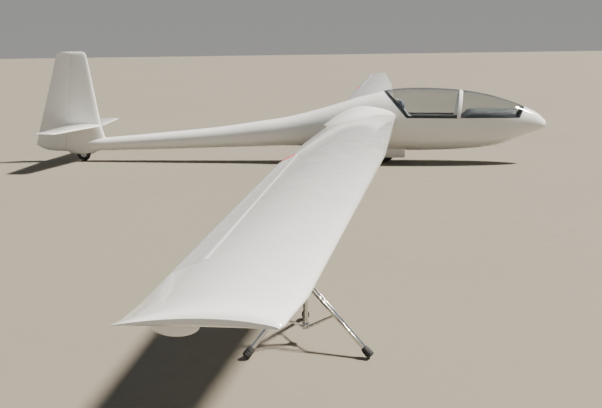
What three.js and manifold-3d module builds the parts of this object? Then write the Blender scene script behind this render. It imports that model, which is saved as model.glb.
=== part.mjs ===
// Single-seat sailplane, parked on its main wheel and tail wheel with the right wing on a stand.
// Millimetres. +X is the nose, +Y the left wing, +Z up. The origin is on the ground at mid length.
import * as THREE from 'three';
import { mergeVertices } from 'three/addons/utils/BufferGeometryUtils.js';
import Module from 'manifold-3d';

const wasm = await Module();
wasm.setup();

// Driving dimensions
const HALF_SPAN = 8870;
const NOSE_X = 3600;
const TAIL_X = -3600;
const GAP = 0.3;            // clearance between solids that touch on the real aircraft
const PLAY = 5;             // clearance round a moving surface
const BODY_SIDES = 28;      // points round a fuselage section
const BODY_STEPS = 28;      // sections along the pod's skin
const INNER_STEPS = 14;     // sections along an inner face
const SHORT_STEPS = 8;      // sections along a short inner face
const WALL = 8;             // fuselage shell
const BOOM_WALL = 6;        // boom shell

// Fuselage sections: x, top z, bottom z, half width, fullness of the superellipse
const FUSELAGE = [
  [3600, 552, 520, 14, 2.0],
  [3588, 574, 490, 42, 2.0],
  [3560, 600, 463, 70, 2.0],
  [3505, 655, 437, 105, 2.0],
  [3430, 703, 414, 137, 2.05],
  [3322, 752, 378, 170, 2.1],
  [3193, 808, 328, 202, 2.15],
  [3033, 863, 264, 233, 2.2],
  [2873, 912, 226, 255, 2.2],
  [2713, 947, 205, 271, 2.2],
  [2488, 983, 188, 288, 2.2],
  [2230, 1006, 174, 297, 2.2],
  [1907, 1017, 168, 300, 2.2],
  [1663, 1010, 172, 298, 2.2],
  [1434, 980, 178, 292, 2.2],
  [1258, 938, 184, 282, 2.15],
  [1053, 886, 191, 266, 2.1],
  [895, 837, 198, 250, 2.1],
  [535, 733, 214, 212, 2.05],
  [105, 630, 226, 178, 2.0],
  [-330, 566, 212, 158, 2.0],
  [-770, 503, 199, 143, 2.0],
  [-1214, 456, 188, 131, 2.0],
  [-1640, 418, 174, 120, 2.0],
  [-2108, 376, 163, 107, 2.0],
  [-2568, 338, 151, 92, 2.0],
  [-2750, 318, 144, 74, 2.4],
  [-2950, 305, 139, 64, 2.8],
  [-3300, 282, 134, 52, 2.8],
];
const POD_END = 300;        // the pod's last section, where the boom begins
const HOLLOW = { front: 3470, back: 1150, bulkhead: 15, boomBack: -2400 };

// Wing sections: y, leading edge x, leading edge z, chord, incidence in degrees, thickness ratio
const WING = [
  [170, 1618, 645, 1010, 6.8, 0.370],
  [230, 1612, 644, 985, 6.9, 0.315],
  [285, 1606, 645, 952, 7.0, 0.255],
  [335, 1602, 647, 922, 7.1, 0.212],
  [380, 1599, 649, 904, 7.1, 0.192],
  [420, 1597, 650, 901, 7.1, 0.190],
  [5270, 1530, 824, 735, 5.0, 0.180],
  [8640, 1383, 930, 430, 4.5, 0.165],
  [8790, 1364, 935, 402, 3.2, 0.140],
  [8850, 1355, 934, 394, 1.8, 0.100],
  [HALF_SPAN, 1344, 931, 384, 0.8, 0.040],
];
const WING_ROOT_Y = 420;    // joint between the root fairing and the wing
const WING_CAMBER = 0.034;
const WING_CAMBER_AT = 0.45;
const WING_CAVITY = { kink: 5255, outer: 8500, front: 0.05, back: 0.92, backOuter: 0.72, skin: 4, steps: 11 };
const TIP_SKID = { x: 1090, y: 8800, z: 905, rx: 62, ry: 14, rz: 28 };

// Fin and rudder sections: z, leading edge x, trailing edge x, thickness ratio
const FIN = [
  [146, -2480, -3500, 0.118],
  [235, -2500, TAIL_X, 0.118],
  [400, -2585, -3552, 0.125],
  [1440, -2744, -3222, 0.125],
  [1520, -2764, -3196, 0.100],
  [1548, -2786, -3188, 0.060],
  [1560, -2815, -3186, 0.025],
];
const RUDDER_AXIS = { bottom: [-3168, 0, 150], top: [-2992, 0, 1560] };
const RUDDER_NOSE = { bottom: 61, top: 31 };
const FIN_CAVITY = { foot: 320, top: 1430, front: 0.07, backFoot: -2925, backTop: -2905, skin: 6, steps: 6 };

// Tailplane sections: y, leading edge x, trailing edge x, thickness ratio
const TAILPLANE = [
  [0, -2575, -3106, 0.115],
  [1060, -2742, -3070, 0.115],
  [1150, -2762, -3064, 0.100],
  [1190, -2800, -3058, 0.050],
];
const TAILPLANE_Z = 512;
const ELEVATOR_AXIS_X = -2985;
const ELEVATOR_ROOT_Y = 66;
const TORQUE_TUBE_R = 9;

// Ailerons: ends along the span and the hinge line on the upper surface
const AILERON = { inner: 5270, outer: 8330, hingeInner: 914, hingeOuter: 1034, depth: 5, bevel: 30 };

// Airbrakes: ends along the span, chord fraction, rise
const BRAKE = { inner: 2650, outer: 4050, at: 0.46, blade: 8, cap: 30, capDepth: 6, floor: -34, wall: 4, guide: 12 };

// Main gear
const WHEEL = { x: 1440, z: 175, r: 175, halfWidth: 60, rimR: 82, hubHalf: 52, axleR: 12 };
const LEG = { y: 84, r: 13, topX: 1290, topZ: 500, crossR: 12 };
const STRUT = { topX: 1660, topZ: 470, r: 9 };
const WELL = { back: 1165, front: 1745, half: 116, top: 560, wall: 6 };
const DOOR = { back: 1175, front: 1737, bottom: 77, top: 215, y: 115.7, thick: 5 };

// Tail wheel
const TAIL_WHEEL = { x: -2890, z: 100, r: 100, halfWidth: 25, rimR: 46, axleR: 7 };
const FAIRING = { x: -2905, z: 196, rx: 262, ry: 58, rz: 111 };

// Canopy outline in side view: x and z of the corners
const CANOPY = {
  sillRear: [1747, 629], sillFront: [3230, 620], topRear: [1436, 982], topFront: [3300, 755],
  splitSill: 2407, splitTop: 2449, band: 49, edge: 28, glassIn: 5, frameIn: 18, above: 1200,
};
const SCREEN_EDGE = 12;     // dark border of the windscreen

// Stand under the right wing: a column with two collars, three folding legs and a padded cradle
const STAND = {
  x: 1135, y: -6660, low: 118, high: 333, footZ: 34, knee: 0.46, columnFoot: 84, innerFrom: 560, cradleZ: 800,
  tubeR: 12.7, innerR: 9.5, collarR: 21, footR: 23, foot: 56,
};
const STAND_FEET = [[1467, -6830], [870, -6887], [1091, -6303]];

// Cockpit, in side view: seat from the shoulders down to the knees
const SEAT = [[1615, 865], [1760, 655], [1855, 490], [1960, 335], [2060, 270], [2250, 256], [2400, 308], [2520, 326]];
const SEAT_SHELL = 8;
const SEAT_BACK = { above: 600, half: 180 };
const HEADREST = { low: 0.3, high: 0.9, half: 95, deep: 60 };
const PEDESTAL = { deep: 60, half: 65, bottom: 150 };
const CUSHION = 32;
const PANEL = { x: 2626, thick: 5, bottom: 430 };
const COAMING = { front: 3190, back: 2484, bottom: 596, top: 732, inset: 36, thick: 5 };
const COAMING_SIDE = [[3190, 596], [3190, 732], [2612, 732], [2600, 727], [2547, 697], [2510, 658], [2484, 618], [2484, 596]];
const LEVER = { y: 238, z: 470, back: 2160, front: 2400, r: 6, grip: 13, brackets: [2190, 2370], bracket: 8 };
const SHELF = { front: 1700, z: 600, thick: 4 };
const STICK = { foot: [2374, 0, 280], top: [2330, 0, 500], r: 9, gripR: 15, grip: 90 };

// Geometry helpers
function toSolid(geometry) {
  const bare = geometry.index ? geometry.toNonIndexed() : geometry.clone();
  bare.deleteAttribute('normal');
  bare.deleteAttribute('uv');
  const merged = mergeVertices(bare, 1e-3);
  const vertProperties = new Float32Array(merged.attributes.position.array);
  const triVerts = new Uint32Array(merged.index.array);
  const keep = [];
  for (let i = 0; i < triVerts.length; i += 3) {
    const [a, b, c] = [triVerts[i], triVerts[i + 1], triVerts[i + 2]];
    if (a !== b && b !== c && c !== a) keep.push(a, b, c);
  }
  const mesh = new wasm.Mesh({ numProp: 3, vertProperties, triVerts: new Uint32Array(keep) });
  return new wasm.Manifold(mesh);
}

function toGeometry(solid) {
  const mesh = solid.getMesh();
  const geometry = new THREE.BufferGeometry();
  geometry.setAttribute('position', new THREE.BufferAttribute(new Float32Array(mesh.vertProperties), 3));
  geometry.setIndex(new THREE.BufferAttribute(new Uint32Array(mesh.triVerts), 1));
  geometry.computeVertexNormals();
  return geometry;
}

// A closed solid through rings of equal length, capped at both ends
function loft(rings) {
  const count = rings[0].length;
  const points = rings.flat();
  const faces = [];
  for (let r = 0; r + 1 < rings.length; r += 1) {
    for (let i = 0; i < count; i += 1) {
      const a = r * count + i;
      const b = r * count + (i + 1) % count;
      faces.push(a, b, a + count, b, b + count, a + count);
    }
  }
  capRing(rings[0], 0, true, faces);
  capRing(rings.at(-1), (rings.length - 1) * count, false, faces);
  const geometry = new THREE.BufferGeometry();
  geometry.setAttribute('position', new THREE.Float32BufferAttribute(points.flatMap((p) => p.toArray()), 3));
  geometry.setIndex(signedVolume(points, faces) < 0 ? faces.reverse() : faces);
  return toSolid(geometry);
}

// Rings run from the trailing side round and back, so opposite points pair up across the section
function capRing(ring, start, flip, faces) {
  const count = ring.length;
  for (let i = 0; i + 1 < count / 2; i += 1) {
    const a = start + i;
    const b = start + i + 1;
    const c = start + count - 1 - i;
    const d = start + count - 2 - i;
    const quad = d === b ? [[a, b, c]] : [[a, b, c], [b, d, c]];
    quad.forEach(([p, q, s]) => (flip ? faces.push(p, s, q) : faces.push(p, q, s)));
  }
}

function signedVolume(points, faces) {
  let sum = 0;
  for (let i = 0; i < faces.length; i += 3) {
    const [a, b, c] = [points[faces[i]], points[faces[i + 1]], points[faces[i + 2]]];
    sum += a.dot(b.clone().cross(c));
  }
  return sum;
}

function box(x0, x1, y0, y1, z0, z1) {
  const geometry = new THREE.BoxGeometry(x1 - x0, y1 - y0, z1 - z0);
  geometry.translate((x0 + x1) / 2, (y0 + y1) / 2, (z0 + z1) / 2);
  return toSolid(geometry);
}

// A round bar between two points, with a radius at each end
function rod(from, to, rFrom, rTo = rFrom, sides = 14) {
  const a = new THREE.Vector3(...from);
  const b = new THREE.Vector3(...to);
  const geometry = new THREE.CylinderGeometry(rTo, rFrom, a.distanceTo(b), sides);
  const turn = new THREE.Quaternion().setFromUnitVectors(new THREE.Vector3(0, 1, 0), b.clone().sub(a).normalize());
  geometry.applyQuaternion(turn);
  geometry.translate((a.x + b.x) / 2, (a.y + b.y) / 2, (a.z + b.z) / 2);
  return toSolid(geometry);
}

// An outline in x and z, extruded across y
function prism(outline, y0, y1) {
  const shape = new THREE.Shape(outline.map(([x, z]) => new THREE.Vector2(x, z)));
  const geometry = new THREE.ExtrudeGeometry(shape, { depth: y1 - y0, bevelEnabled: false, steps: 1 });
  geometry.rotateX(Math.PI / 2);
  geometry.translate(0, y1, 0);
  return toSolid(geometry);
}

function ball(x, y, z, rx, ry, rz, sides = 20) {
  const geometry = new THREE.SphereGeometry(1, sides, sides / 2);
  geometry.scale(rx, ry, rz);
  geometry.translate(x, y, z);
  return toSolid(geometry);
}

// A ring about a line along y, from its half profile of radius and y
function turned(profile, x, z, sides) {
  const geometry = new THREE.LatheGeometry(profile.map(([r, y]) => new THREE.Vector2(r, y)), sides);
  geometry.translate(x, 0, z);
  return toSolid(geometry);
}

function mirrored(solid) {
  return solid.mirror([0, 1, 0]);
}

function between(table, key, value, column) {
  const rising = table.at(-1)[key] > table[0][key];
  const rows = rising ? table : [...table].reverse();
  const last = rows.length - 1;
  let i = 0;
  while (i < last - 1 && value > rows[i + 1][key]) i += 1;
  const t = (value - rows[i][key]) / (rows[i + 1][key] - rows[i][key]);
  return rows[i][column] + t * (rows[i + 1][column] - rows[i][column]);
}

// Fuselage
const bodyCurves = [1, 2, 3, 4].map((column) => new THREE.SplineCurve(
  FUSELAGE.map((row, i) => new THREE.Vector2(i, row[column])),
));
const bodyStation = new THREE.SplineCurve(FUSELAGE.map((row, i) => new THREE.Vector2(i, row[0])));

// A fuselage section at position t in the table, drawn in from the skin by inset
function bodyRing(t, inset) {
  const u = t / (FUSELAGE.length - 1);
  const [top, bottom, half, fullness] = bodyCurves.map((curve) => curve.getPoint(u).y);
  const x = bodyStation.getPoint(u).y;
  const middle = (top + bottom) / 2;
  const height = Math.max((top - bottom) / 2 - inset, 1);
  const width = Math.max(half - inset, 1);
  const ring = [];
  for (let i = 0; i < BODY_SIDES; i += 1) {
    const a = (2 * Math.PI * (i + 0.5)) / BODY_SIDES;
    const c = Math.cos(a);
    const s = Math.sin(a);
    const y = Math.sign(c) * width * Math.abs(c) ** (2 / fullness);
    const z = Math.sign(s) * height * Math.abs(s) ** (2 / fullness);
    ring.push(new THREE.Vector3(x, y, middle + z));
  }
  return ring;
}

function tableAt(x) {
  let i = 0;
  while (i < FUSELAGE.length - 2 && x < FUSELAGE[i + 1][0]) i += 1;
  return i + (FUSELAGE[i][0] - x) / (FUSELAGE[i][0] - FUSELAGE[i + 1][0]);
}

function bodySolid(front, back, inset = 0, steps = BODY_STEPS) {
  const [first, last] = [tableAt(front), tableAt(back)];
  const rings = [];
  for (let i = 0; i <= steps; i += 1) rings.push(bodyRing(first + ((last - first) * i) / steps, inset));
  return loft(rings);
}

// Wing section: thickness with its peak at 40 per cent, on a parabolic mean line
function halfThickness(c) {
  const peak = 0.4;
  const [a0, d0, d1] = [0.296904, 0.002, 0.315];
  const rest = 1 - peak;
  const d2 = (0.294 - 2 * rest * d1) / rest ** 2;
  const d3 = (-0.196 + rest * d1) / rest ** 3;
  const rho = (0.2 * rest ** 2) / (0.588 - 2 * d1 * rest);
  const a1 = 0.3 / peak - (1.875 * a0) / Math.sqrt(peak) - peak / (10 * rho);
  const a2 = -0.3 / peak ** 2 + (1.25 * a0) / peak ** 1.5 + 1 / (5 * rho);
  const a3 = 0.1 / peak ** 3 - (0.375 * a0) / peak ** 2.5 - 1 / (10 * rho * peak);
  if (c < peak) return (a0 * Math.sqrt(c) + a1 * c + a2 * c ** 2 + a3 * c ** 3) / 0.2;
  const r = 1 - c;
  return (d0 + d1 * r + d2 * r ** 2 + d3 * r ** 3) / 0.2;
}

function meanLine(c, camber) {
  const p = WING_CAMBER_AT;
  if (c < p) return (camber / p ** 2) * (2 * p * c - c ** 2);
  return (camber / (1 - p) ** 2) * (1 - 2 * p + 2 * p * c - c ** 2);
}

// Chord fractions of a section, close together at the nose
function chordSteps(count) {
  return Array.from({ length: count + 1 }, (_, i) => 1 - Math.sin((Math.PI / 2) * (i / count)) ** 1.15);
}

// A section as points of [chord fraction back, height], from the trailing edge over the top and back
function sectionPoints(ratio, camber, steps) {
  const stations = chordSteps(steps);
  const upper = stations.map((c) => [c, meanLine(c, camber) + ratio * halfThickness(c)]);
  const lower = stations.map((c) => [c, meanLine(c, camber) - ratio * halfThickness(c)]);
  return [...upper, ...lower.reverse().slice(1)];
}

const WING_STEPS = 14;

function onWing(y, points) {
  const [x, z, chord, incidence] = [1, 2, 3, 4].map((column) => between(WING, 0, y, column));
  const a = THREE.MathUtils.degToRad(incidence);
  return points.map(([c, h]) => new THREE.Vector3(
    x - chord * (c * Math.cos(a) + h * Math.sin(a)),
    y,
    z + chord * (h * Math.cos(a) - c * Math.sin(a)),
  ));
}

function wingRing(y) {
  return onWing(y, sectionPoints(between(WING, 0, y, 5), WING_CAMBER, WING_STEPS));
}

// The hollow inside a wing's skin, open at the root
function cavityRing(y, back) {
  const { front, skin, steps } = WING_CAVITY;
  const [chord, ratio] = [3, 5].map((column) => between(WING, 0, y, column));
  const stations = Array.from({ length: steps + 1 }, (_, i) => back + ((front - back) * i) / steps);
  const face = (side) => stations.map((c) => [
    c, meanLine(c, WING_CAMBER) + side * (ratio * halfThickness(c) - skin / chord),
  ]);
  return onWing(y, [...face(1), ...face(-1).reverse()]);
}

function wingCavity() {
  const { kink, outer, back, backOuter } = WING_CAVITY;
  const inboard = loft([WING_ROOT_Y - 1, kink].map((y) => cavityRing(y, back)));
  const outboard = loft([kink - 1, outer].map((y) => cavityRing(y, backOuter)));
  const housing = brakeBox(BRAKE.cap / 2 + PLAY + BRAKE.wall, -WELL.top, WELL.top, -BRAKE.wall);
  return inboard.add(outboard).subtract(housing);
}

function wingSolid(inner) {
  const ys = [inner, ...WING.map((row) => row[0]).filter((y) => y > inner + 1)];
  return loft(ys.map(wingRing));
}

// Point on the upper surface at a given span position and x
function upperSurface(y, x) {
  const ring = wingRing(y).slice(0, WING_STEPS + 1);
  let i = 0;
  while (i < ring.length - 2 && x > ring[i + 1].x) i += 1;
  const t = (x - ring[i].x) / (ring[i + 1].x - ring[i].x);
  return ring[i].z + t * (ring[i + 1].z - ring[i].z);
}

function aileronAxis() {
  const ends = [[AILERON.inner, AILERON.hingeInner], [AILERON.outer, AILERON.hingeOuter]];
  return ends.map(([y, x]) => [x, y, upperSurface(y, x) - AILERON.depth]);
}

// Everything behind a plane through the aileron's hinge line, tilted back at the bottom by bevel degrees
function behindHinge(ahead, bevel, inner, outer) {
  const [a, b] = aileronAxis();
  const slope = Math.tan(THREE.MathUtils.degToRad(bevel));
  const reach = 400;
  const ring = (y) => {
    const t = (y - a[1]) / (b[1] - a[1]);
    const x = a[0] + t * (b[0] - a[0]) + ahead;
    const z = a[2] + t * (b[2] - a[2]);
    return [[x, z + reach], [x, z], [x - slope * reach, z - reach], [x - reach * 2, z - reach],
      [x - reach * 2, z], [x - reach * 2, z + reach]].map(([px, pz]) => new THREE.Vector3(px, y, pz));
  };
  return loft([ring(inner), ring(outer)]);
}

const HINGES_AT = [0.12, 0.5, 0.88];
const KNUCKLE = { r: 4, half: 14, web: 3 };

function aileronKnuckles(extra) {
  const [a, b] = aileronAxis();
  const at = (t) => a.map((value, i) => value + t * (b[i] - value));
  const length = b[1] - a[1];
  return HINGES_AT.map((t) => {
    const from = at(t - KNUCKLE.half / length);
    const to = at(t + KNUCKLE.half / length);
    return rod(from, to, KNUCKLE.r + extra);
  }).reduce((all, one) => all.add(one));
}

function aileronWebs() {
  const [a, b] = aileronAxis();
  const reach = 30;
  return HINGES_AT.map((t) => {
    const [x, y, z] = a.map((value, i) => value + t * (b[i] - value));
    return box(x, x + reach, y - KNUCKLE.half / 2, y + KNUCKLE.half / 2, z - KNUCKLE.web, z);
  }).reduce((all, one) => all.add(one));
}

// Airbrake slot: a box square to the chord, with room for the cap and the blade
function brakeBox(half, bottom, top, inset) {
  const ring = (y) => {
    const [x, z, chord, incidence] = [1, 2, 3, 4].map((column) => between(WING, 0, y, column));
    const a = THREE.MathUtils.degToRad(incidence);
    const cx = x - chord * BRAKE.at * Math.cos(a);
    const cz = z - chord * BRAKE.at * Math.sin(a);
    return [[cx - half, cz + bottom], [cx - half, cz + top], [cx + half, cz + top], [cx + half, cz + bottom]]
      .map(([px, pz]) => new THREE.Vector3(px, y, pz));
  };
  return loft([ring(BRAKE.inner + inset), ring(BRAKE.outer - inset)]);
}

function brakeGuides(whole) {
  const capUnder = whole.translate([0, 0, -BRAKE.capDepth - PLAY]);
  const span = BRAKE.outer - BRAKE.inner;
  const slotHalf = BRAKE.cap / 2 + PLAY;
  return [0.15, 0.85].map((t) => {
    const y = BRAKE.inner + t * span;
    const block = brakeBox(slotHalf + 1, BRAKE.floor - 1, 200, 0)
      .intersect(box(0, 2000, y - BRAKE.guide, y + BRAKE.guide, 0, 2000));
    return block.intersect(capUnder).subtract(brakeBox(BRAKE.blade / 2 + GAP, BRAKE.floor - 1, 300, 0));
  }).reduce((all, one) => all.add(one));
}

function makeAirbrake(whole) {
  const shrink = PLAY;
  const cap = brakeBox(BRAKE.cap / 2, BRAKE.floor, 300, shrink)
    .intersect(whole)
    .subtract(whole.translate([0, 0, -BRAKE.capDepth]));
  const blade = brakeBox(BRAKE.blade / 2, BRAKE.floor + PLAY, 300, shrink).intersect(whole);
  return cap.add(blade);
}

function makeWing(whole) {
  const cutInner = AILERON.inner;
  const cutOuter = AILERON.outer;
  const face = AILERON.depth + 2;
  const slot = brakeBox(BRAKE.cap / 2 + PLAY, BRAKE.floor, 300, 0);
  const { x, y, z, rx, ry, rz } = TIP_SKID;
  return whole
    .add(ball(x, y, z, rx, ry, rz, 12))
    .subtract(behindHinge(face, 0, cutInner, cutOuter))
    .subtract(wingCavity())
    .subtract(slot)
    .add(brakeGuides(whole))
    .add(aileronWebs())
    .add(aileronKnuckles(0));
}

function makeAileron(whole) {
  return whole
    .intersect(behindHinge(0, AILERON.bevel, AILERON.inner + PLAY, AILERON.outer - PLAY))
    .subtract(aileronKnuckles(GAP));
}

// Symmetric section of the fin, at height z
function finRing([z, le, te, ratio]) {
  const chord = le - te;
  return sectionPoints(ratio, 0, 10).map(([c, h]) => new THREE.Vector3(le - c * chord, h * chord, z));
}

// The hollow inside the fin's skin, open at its foot
function finCavityRing(z, backX) {
  const { front, skin, steps } = FIN_CAVITY;
  const [lead, trail, ratio] = [1, 2, 3].map((column) => between(FIN, 0, z, column));
  const chord = lead - trail;
  const back = (lead - backX) / chord;
  const face = (side) => Array.from({ length: steps + 1 }, (_, i) => {
    const c = back + ((front - back) * i) / steps;
    return new THREE.Vector3(lead - c * chord, side * (ratio * halfThickness(c) * chord - skin), z);
  });
  return [...face(1), ...face(-1).reverse()];
}

function finCavity() {
  const { foot, top, backFoot, backTop } = FIN_CAVITY;
  return loft([finCavityRing(foot, backFoot), finCavityRing(top, backTop)]);
}

const HINGE_SIDES = 40;

// Space swept by a round-nosed surface: a cone about its hinge line and all that lies behind it
function hingeZone(from, to, rFrom, rTo, extra, across, upAxis) {
  const a = new THREE.Vector3(...from);
  const b = new THREE.Vector3(...to);
  const along = b.clone().sub(a).normalize();
  const start = a.clone().addScaledVector(along, -across);
  const end = b.clone().addScaledVector(along, across);
  const slope = (rTo - rFrom) / a.distanceTo(b);
  const nose = rod(start.toArray(), end.toArray(), rFrom + extra - slope * across, rTo + extra + slope * across, HINGE_SIDES);
  const back = new THREE.Vector3(-1, 0, 0);
  const side = new THREE.Vector3(...upAxis);
  const reach = 900;
  const half = 300;
  const ring = (p) => [[-extra, half], [-extra, -half], [reach, -half], [reach, half]].map(
    ([d, h]) => p.clone().addScaledVector(back, d).addScaledVector(side, h),
  );
  return nose.add(loft([ring(start), ring(end)]));
}

const RUDDER_PLATES = [0.06, 0.5, 0.94];
const PLATE_HALF = 6;

function rudderZone(extra) {
  return hingeZone(RUDDER_AXIS.bottom, RUDDER_AXIS.top, RUDDER_NOSE.bottom, RUDDER_NOSE.top, extra, 60, [0, 1, 0]);
}

function platesAlong(from, to, places, half, reach) {
  return places.map((t) => {
    const [x, y, z] = from.map((value, i) => value + t * (to[i] - value));
    const tall = Math.abs(to[2] - from[2]) > Math.abs(to[1] - from[1]);
    return tall
      ? box(x - reach, x + reach, y - reach, y + reach, z - half, z + half)
      : box(x - reach, x + reach, y - half, y + half, z - reach, z + reach);
  }).reduce((all, one) => all.add(one));
}

// What the fixed surface loses: the moving surface's room, but only a running gap at the hinge plates
function hingeCut(zone, plates) {
  return zone(PLAY).subtract(plates).add(zone(GAP));
}

function tailRing([y, le, te, ratio]) {
  const chord = le - te;
  return sectionPoints(ratio, 0, 10).map(([c, h]) => new THREE.Vector3(le - c * chord, y, TAILPLANE_Z + h * chord));
}

function tailplaneWhole() {
  return loft(TAILPLANE.map(tailRing));
}

const ELEVATOR_NOSE = { root: 19.5, tip: 12 };
const ELEVATOR_TIP_Y = 1190;

function elevatorZone(extra) {
  return hingeZone([ELEVATOR_AXIS_X, 0, TAILPLANE_Z], [ELEVATOR_AXIS_X, ELEVATOR_TIP_Y, TAILPLANE_Z],
    ELEVATOR_NOSE.root, ELEVATOR_NOSE.tip, extra, 20, [0, 0, 1]);
}

// Canopy edges in side view: x at height z, moved forward by d
const canopySlope = (from, to) => (to[0] - from[0]) / (to[1] - from[1]);
const slopeRear = canopySlope(CANOPY.sillRear, CANOPY.topRear);
const slopeNose = canopySlope(CANOPY.sillFront, CANOPY.topFront);
const slopeArch = (CANOPY.splitTop - CANOPY.splitSill) / (CANOPY.topRear[1] - CANOPY.sillRear[1]);
const canopyEdges = {
  rear: (z, d) => CANOPY.sillRear[0] + 1.25 * d + slopeRear * (z - CANOPY.sillRear[1]),
  archBack: (z, d) => CANOPY.splitSill + d + slopeArch * (z - CANOPY.sillRear[1]),
  archFront: (z, d) => CANOPY.splitSill + CANOPY.band + d + slopeArch * (z - CANOPY.sillRear[1]),
  nose: (z, d) => CANOPY.sillFront[0] + d + slopeNose * (z - CANOPY.sillFront[1]),
};

// The space above the sill between two edges, each drawn in by its own gap
function canopyZone(sillGap, [back, backGap], [front, frontGap]) {
  const { sillRear, sillFront, above } = CANOPY;
  const sill = sillRear[1] + sillGap;
  const sillAt = (x) => sill + ((x - sillRear[0]) / (sillFront[0] - sillRear[0])) * (sillFront[1] - sillRear[1]);
  const [backX, frontX] = [(z) => canopyEdges[back](z, backGap), (z) => canopyEdges[front](z, -frontGap)];
  const outline = [
    [backX(sill), sillAt(backX(sill))],
    [frontX(sill), sillAt(frontX(sill))],
    [frontX(above), above],
    [backX(above), above],
  ];
  return prism(outline, -400, 400);
}

const SKIN = { front: 3470, back: 1250 };

function skin(outer, inner) {
  return bodySolid(SKIN.front, SKIN.back, outer, INNER_STEPS)
    .subtract(bodySolid(SKIN.front + 5, SKIN.back - 5, inner, INNER_STEPS));
}

// Materials
function paint(color, roughness, metalness = 0) {
  return new THREE.MeshStandardMaterial({ color, roughness, metalness });
}
const gelcoat = paint(0xe8e6df, 0.22);
const clear = new THREE.MeshStandardMaterial({ color: 0x9fb2b8, roughness: 0.05, transparent: true, opacity: 0.35 });
const grey = paint(0x6f7275, 0.5);
const dark = paint(0x26282a, 0.6);
const rubber = paint(0x161616, 0.85);
const metal = paint(0xb8bcc0, 0.35, 0.9);
const chrome = paint(0xd9dde0, 0.12, 1.0);
const fabric = paint(0x3b3f46, 0.9);
const blue = paint(0x2456a8, 0.4);

const group = new THREE.Group();
group.name = 'sailplane';

function place(name, solid, material) {
  const mesh = new THREE.Mesh(solid.getMesh ? toGeometry(solid) : solid, material);
  mesh.name = name;
  group.add(mesh);
  return mesh;
}

// Assembly: fuselage
const rootLeft = wingSolid(WING[0][0]).intersect(box(0, 2000, 0, WING_ROOT_Y - GAP, 0, 2000));
const rootFairings = rootLeft.add(mirrored(rootLeft));
const wellHole = box(WELL.back, WELL.front, -WELL.half, WELL.half, 0, WELL.top);
const sillPads = [1900, 2280].map((x) => box(x - 10, x + 10, -340, 340, 600, 632)).reduce((a, b) => a.add(b));
const sillPadBand = sillPads
  .intersect(skin(3, WALL - 2))
  .subtract(canopyZone(PLAY - GAP, ['rear', 0], ['archFront', 0]));
const pod = bodySolid(NOSE_X, POD_END + GAP)
  .add(rootFairings)
  .subtract(bodySolid(HOLLOW.front, HOLLOW.back, WALL, INNER_STEPS))
  .subtract(bodySolid(HOLLOW.back - HOLLOW.bulkhead, POD_END - 1, WALL, SHORT_STEPS))
  .subtract(wellHole)
  .subtract(canopyZone(0, ['rear', 0], ['nose', 0]))
  .add(sillPadBand);
place('fuselage_pod', pod, gelcoat);

const finWhole = loft(FIN.map(finRing));
const rudderCut = hingeCut(rudderZone, platesAlong(RUDDER_AXIS.bottom, RUDDER_AXIS.top, RUDDER_PLATES, PLATE_HALF, 120));
const tailWheelSlot = box(TAIL_WHEEL.x - 112, TAIL_WHEEL.x + 112, -33, 33, 0, 214);
const tailAxleHole = rod([TAIL_WHEEL.x, -80, TAIL_WHEEL.z], [TAIL_WHEEL.x, 80, TAIL_WHEEL.z], TAIL_WHEEL.axleR + GAP);
const boomWhole = bodySolid(POD_END, -3260, 0, 14)
  .add(ball(FAIRING.x, 0, FAIRING.z, FAIRING.rx, FAIRING.ry, FAIRING.rz, 24));
const boom = boomWhole
  .subtract(bodySolid(POD_END + 1, HOLLOW.boomBack, BOOM_WALL, SHORT_STEPS))
  .subtract(rudderCut).subtract(tailWheelSlot).subtract(tailAxleHole);
place('tail_boom', boom, gelcoat);

const stabWhole = tailplaneWhole();
const bothStabs = stabWhole.add(mirrored(stabWhole));
const tubeHole = rod([ELEVATOR_AXIS_X, -90, TAILPLANE_Z], [ELEVATOR_AXIS_X, 90, TAILPLANE_Z], TORQUE_TUBE_R + GAP);
const fin = finWhole
  .subtract(rudderCut)
  .subtract(boomWhole.translate([0, 0, GAP]))
  .subtract(boomWhole)
  .subtract(bothStabs.intersect(box(-3400, ELEVATOR_AXIS_X + 20, -400, 400, 0, 900)).subtract(box(-3400, -2000, -70, 70, 0, 900)))
  .subtract(tubeHole)
  .subtract(finCavity());
place('fin', fin.intersect(box(-3400, -2000, -300, 300, 330, 1600)), gelcoat);
const rudder = finWhole.intersect(rudderZone(0));
place('rudder', rudder, gelcoat);

// Tailplane
const elevatorCut = hingeCut(elevatorZone, platesAlong([ELEVATOR_AXIS_X, 0, TAILPLANE_Z],
  [ELEVATOR_AXIS_X, ELEVATOR_TIP_Y, TAILPLANE_Z], [0.3, 0.85], PLATE_HALF, 40));
const finGrown = finWhole.translate([0, GAP, 0]).add(finWhole);
const stabLeft = stabWhole.subtract(elevatorCut).subtract(finGrown);
const elevatorLeft = stabWhole.intersect(elevatorZone(0)).intersect(box(-3400, -2000, ELEVATOR_ROOT_Y, 1300, 0, 900));
const tubeLeft = rod([ELEVATOR_AXIS_X, 0, TAILPLANE_Z], [ELEVATOR_AXIS_X, ELEVATOR_ROOT_Y - GAP, TAILPLANE_Z], TORQUE_TUBE_R);
place('stabiliser_left', stabLeft, gelcoat);
place('stabiliser_right', mirrored(stabLeft), gelcoat);
place('elevator_left', elevatorLeft, gelcoat);
place('elevator_right', mirrored(elevatorLeft), gelcoat);
place('elevator_torque_tube', tubeLeft.add(mirrored(tubeLeft)), metal);

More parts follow.
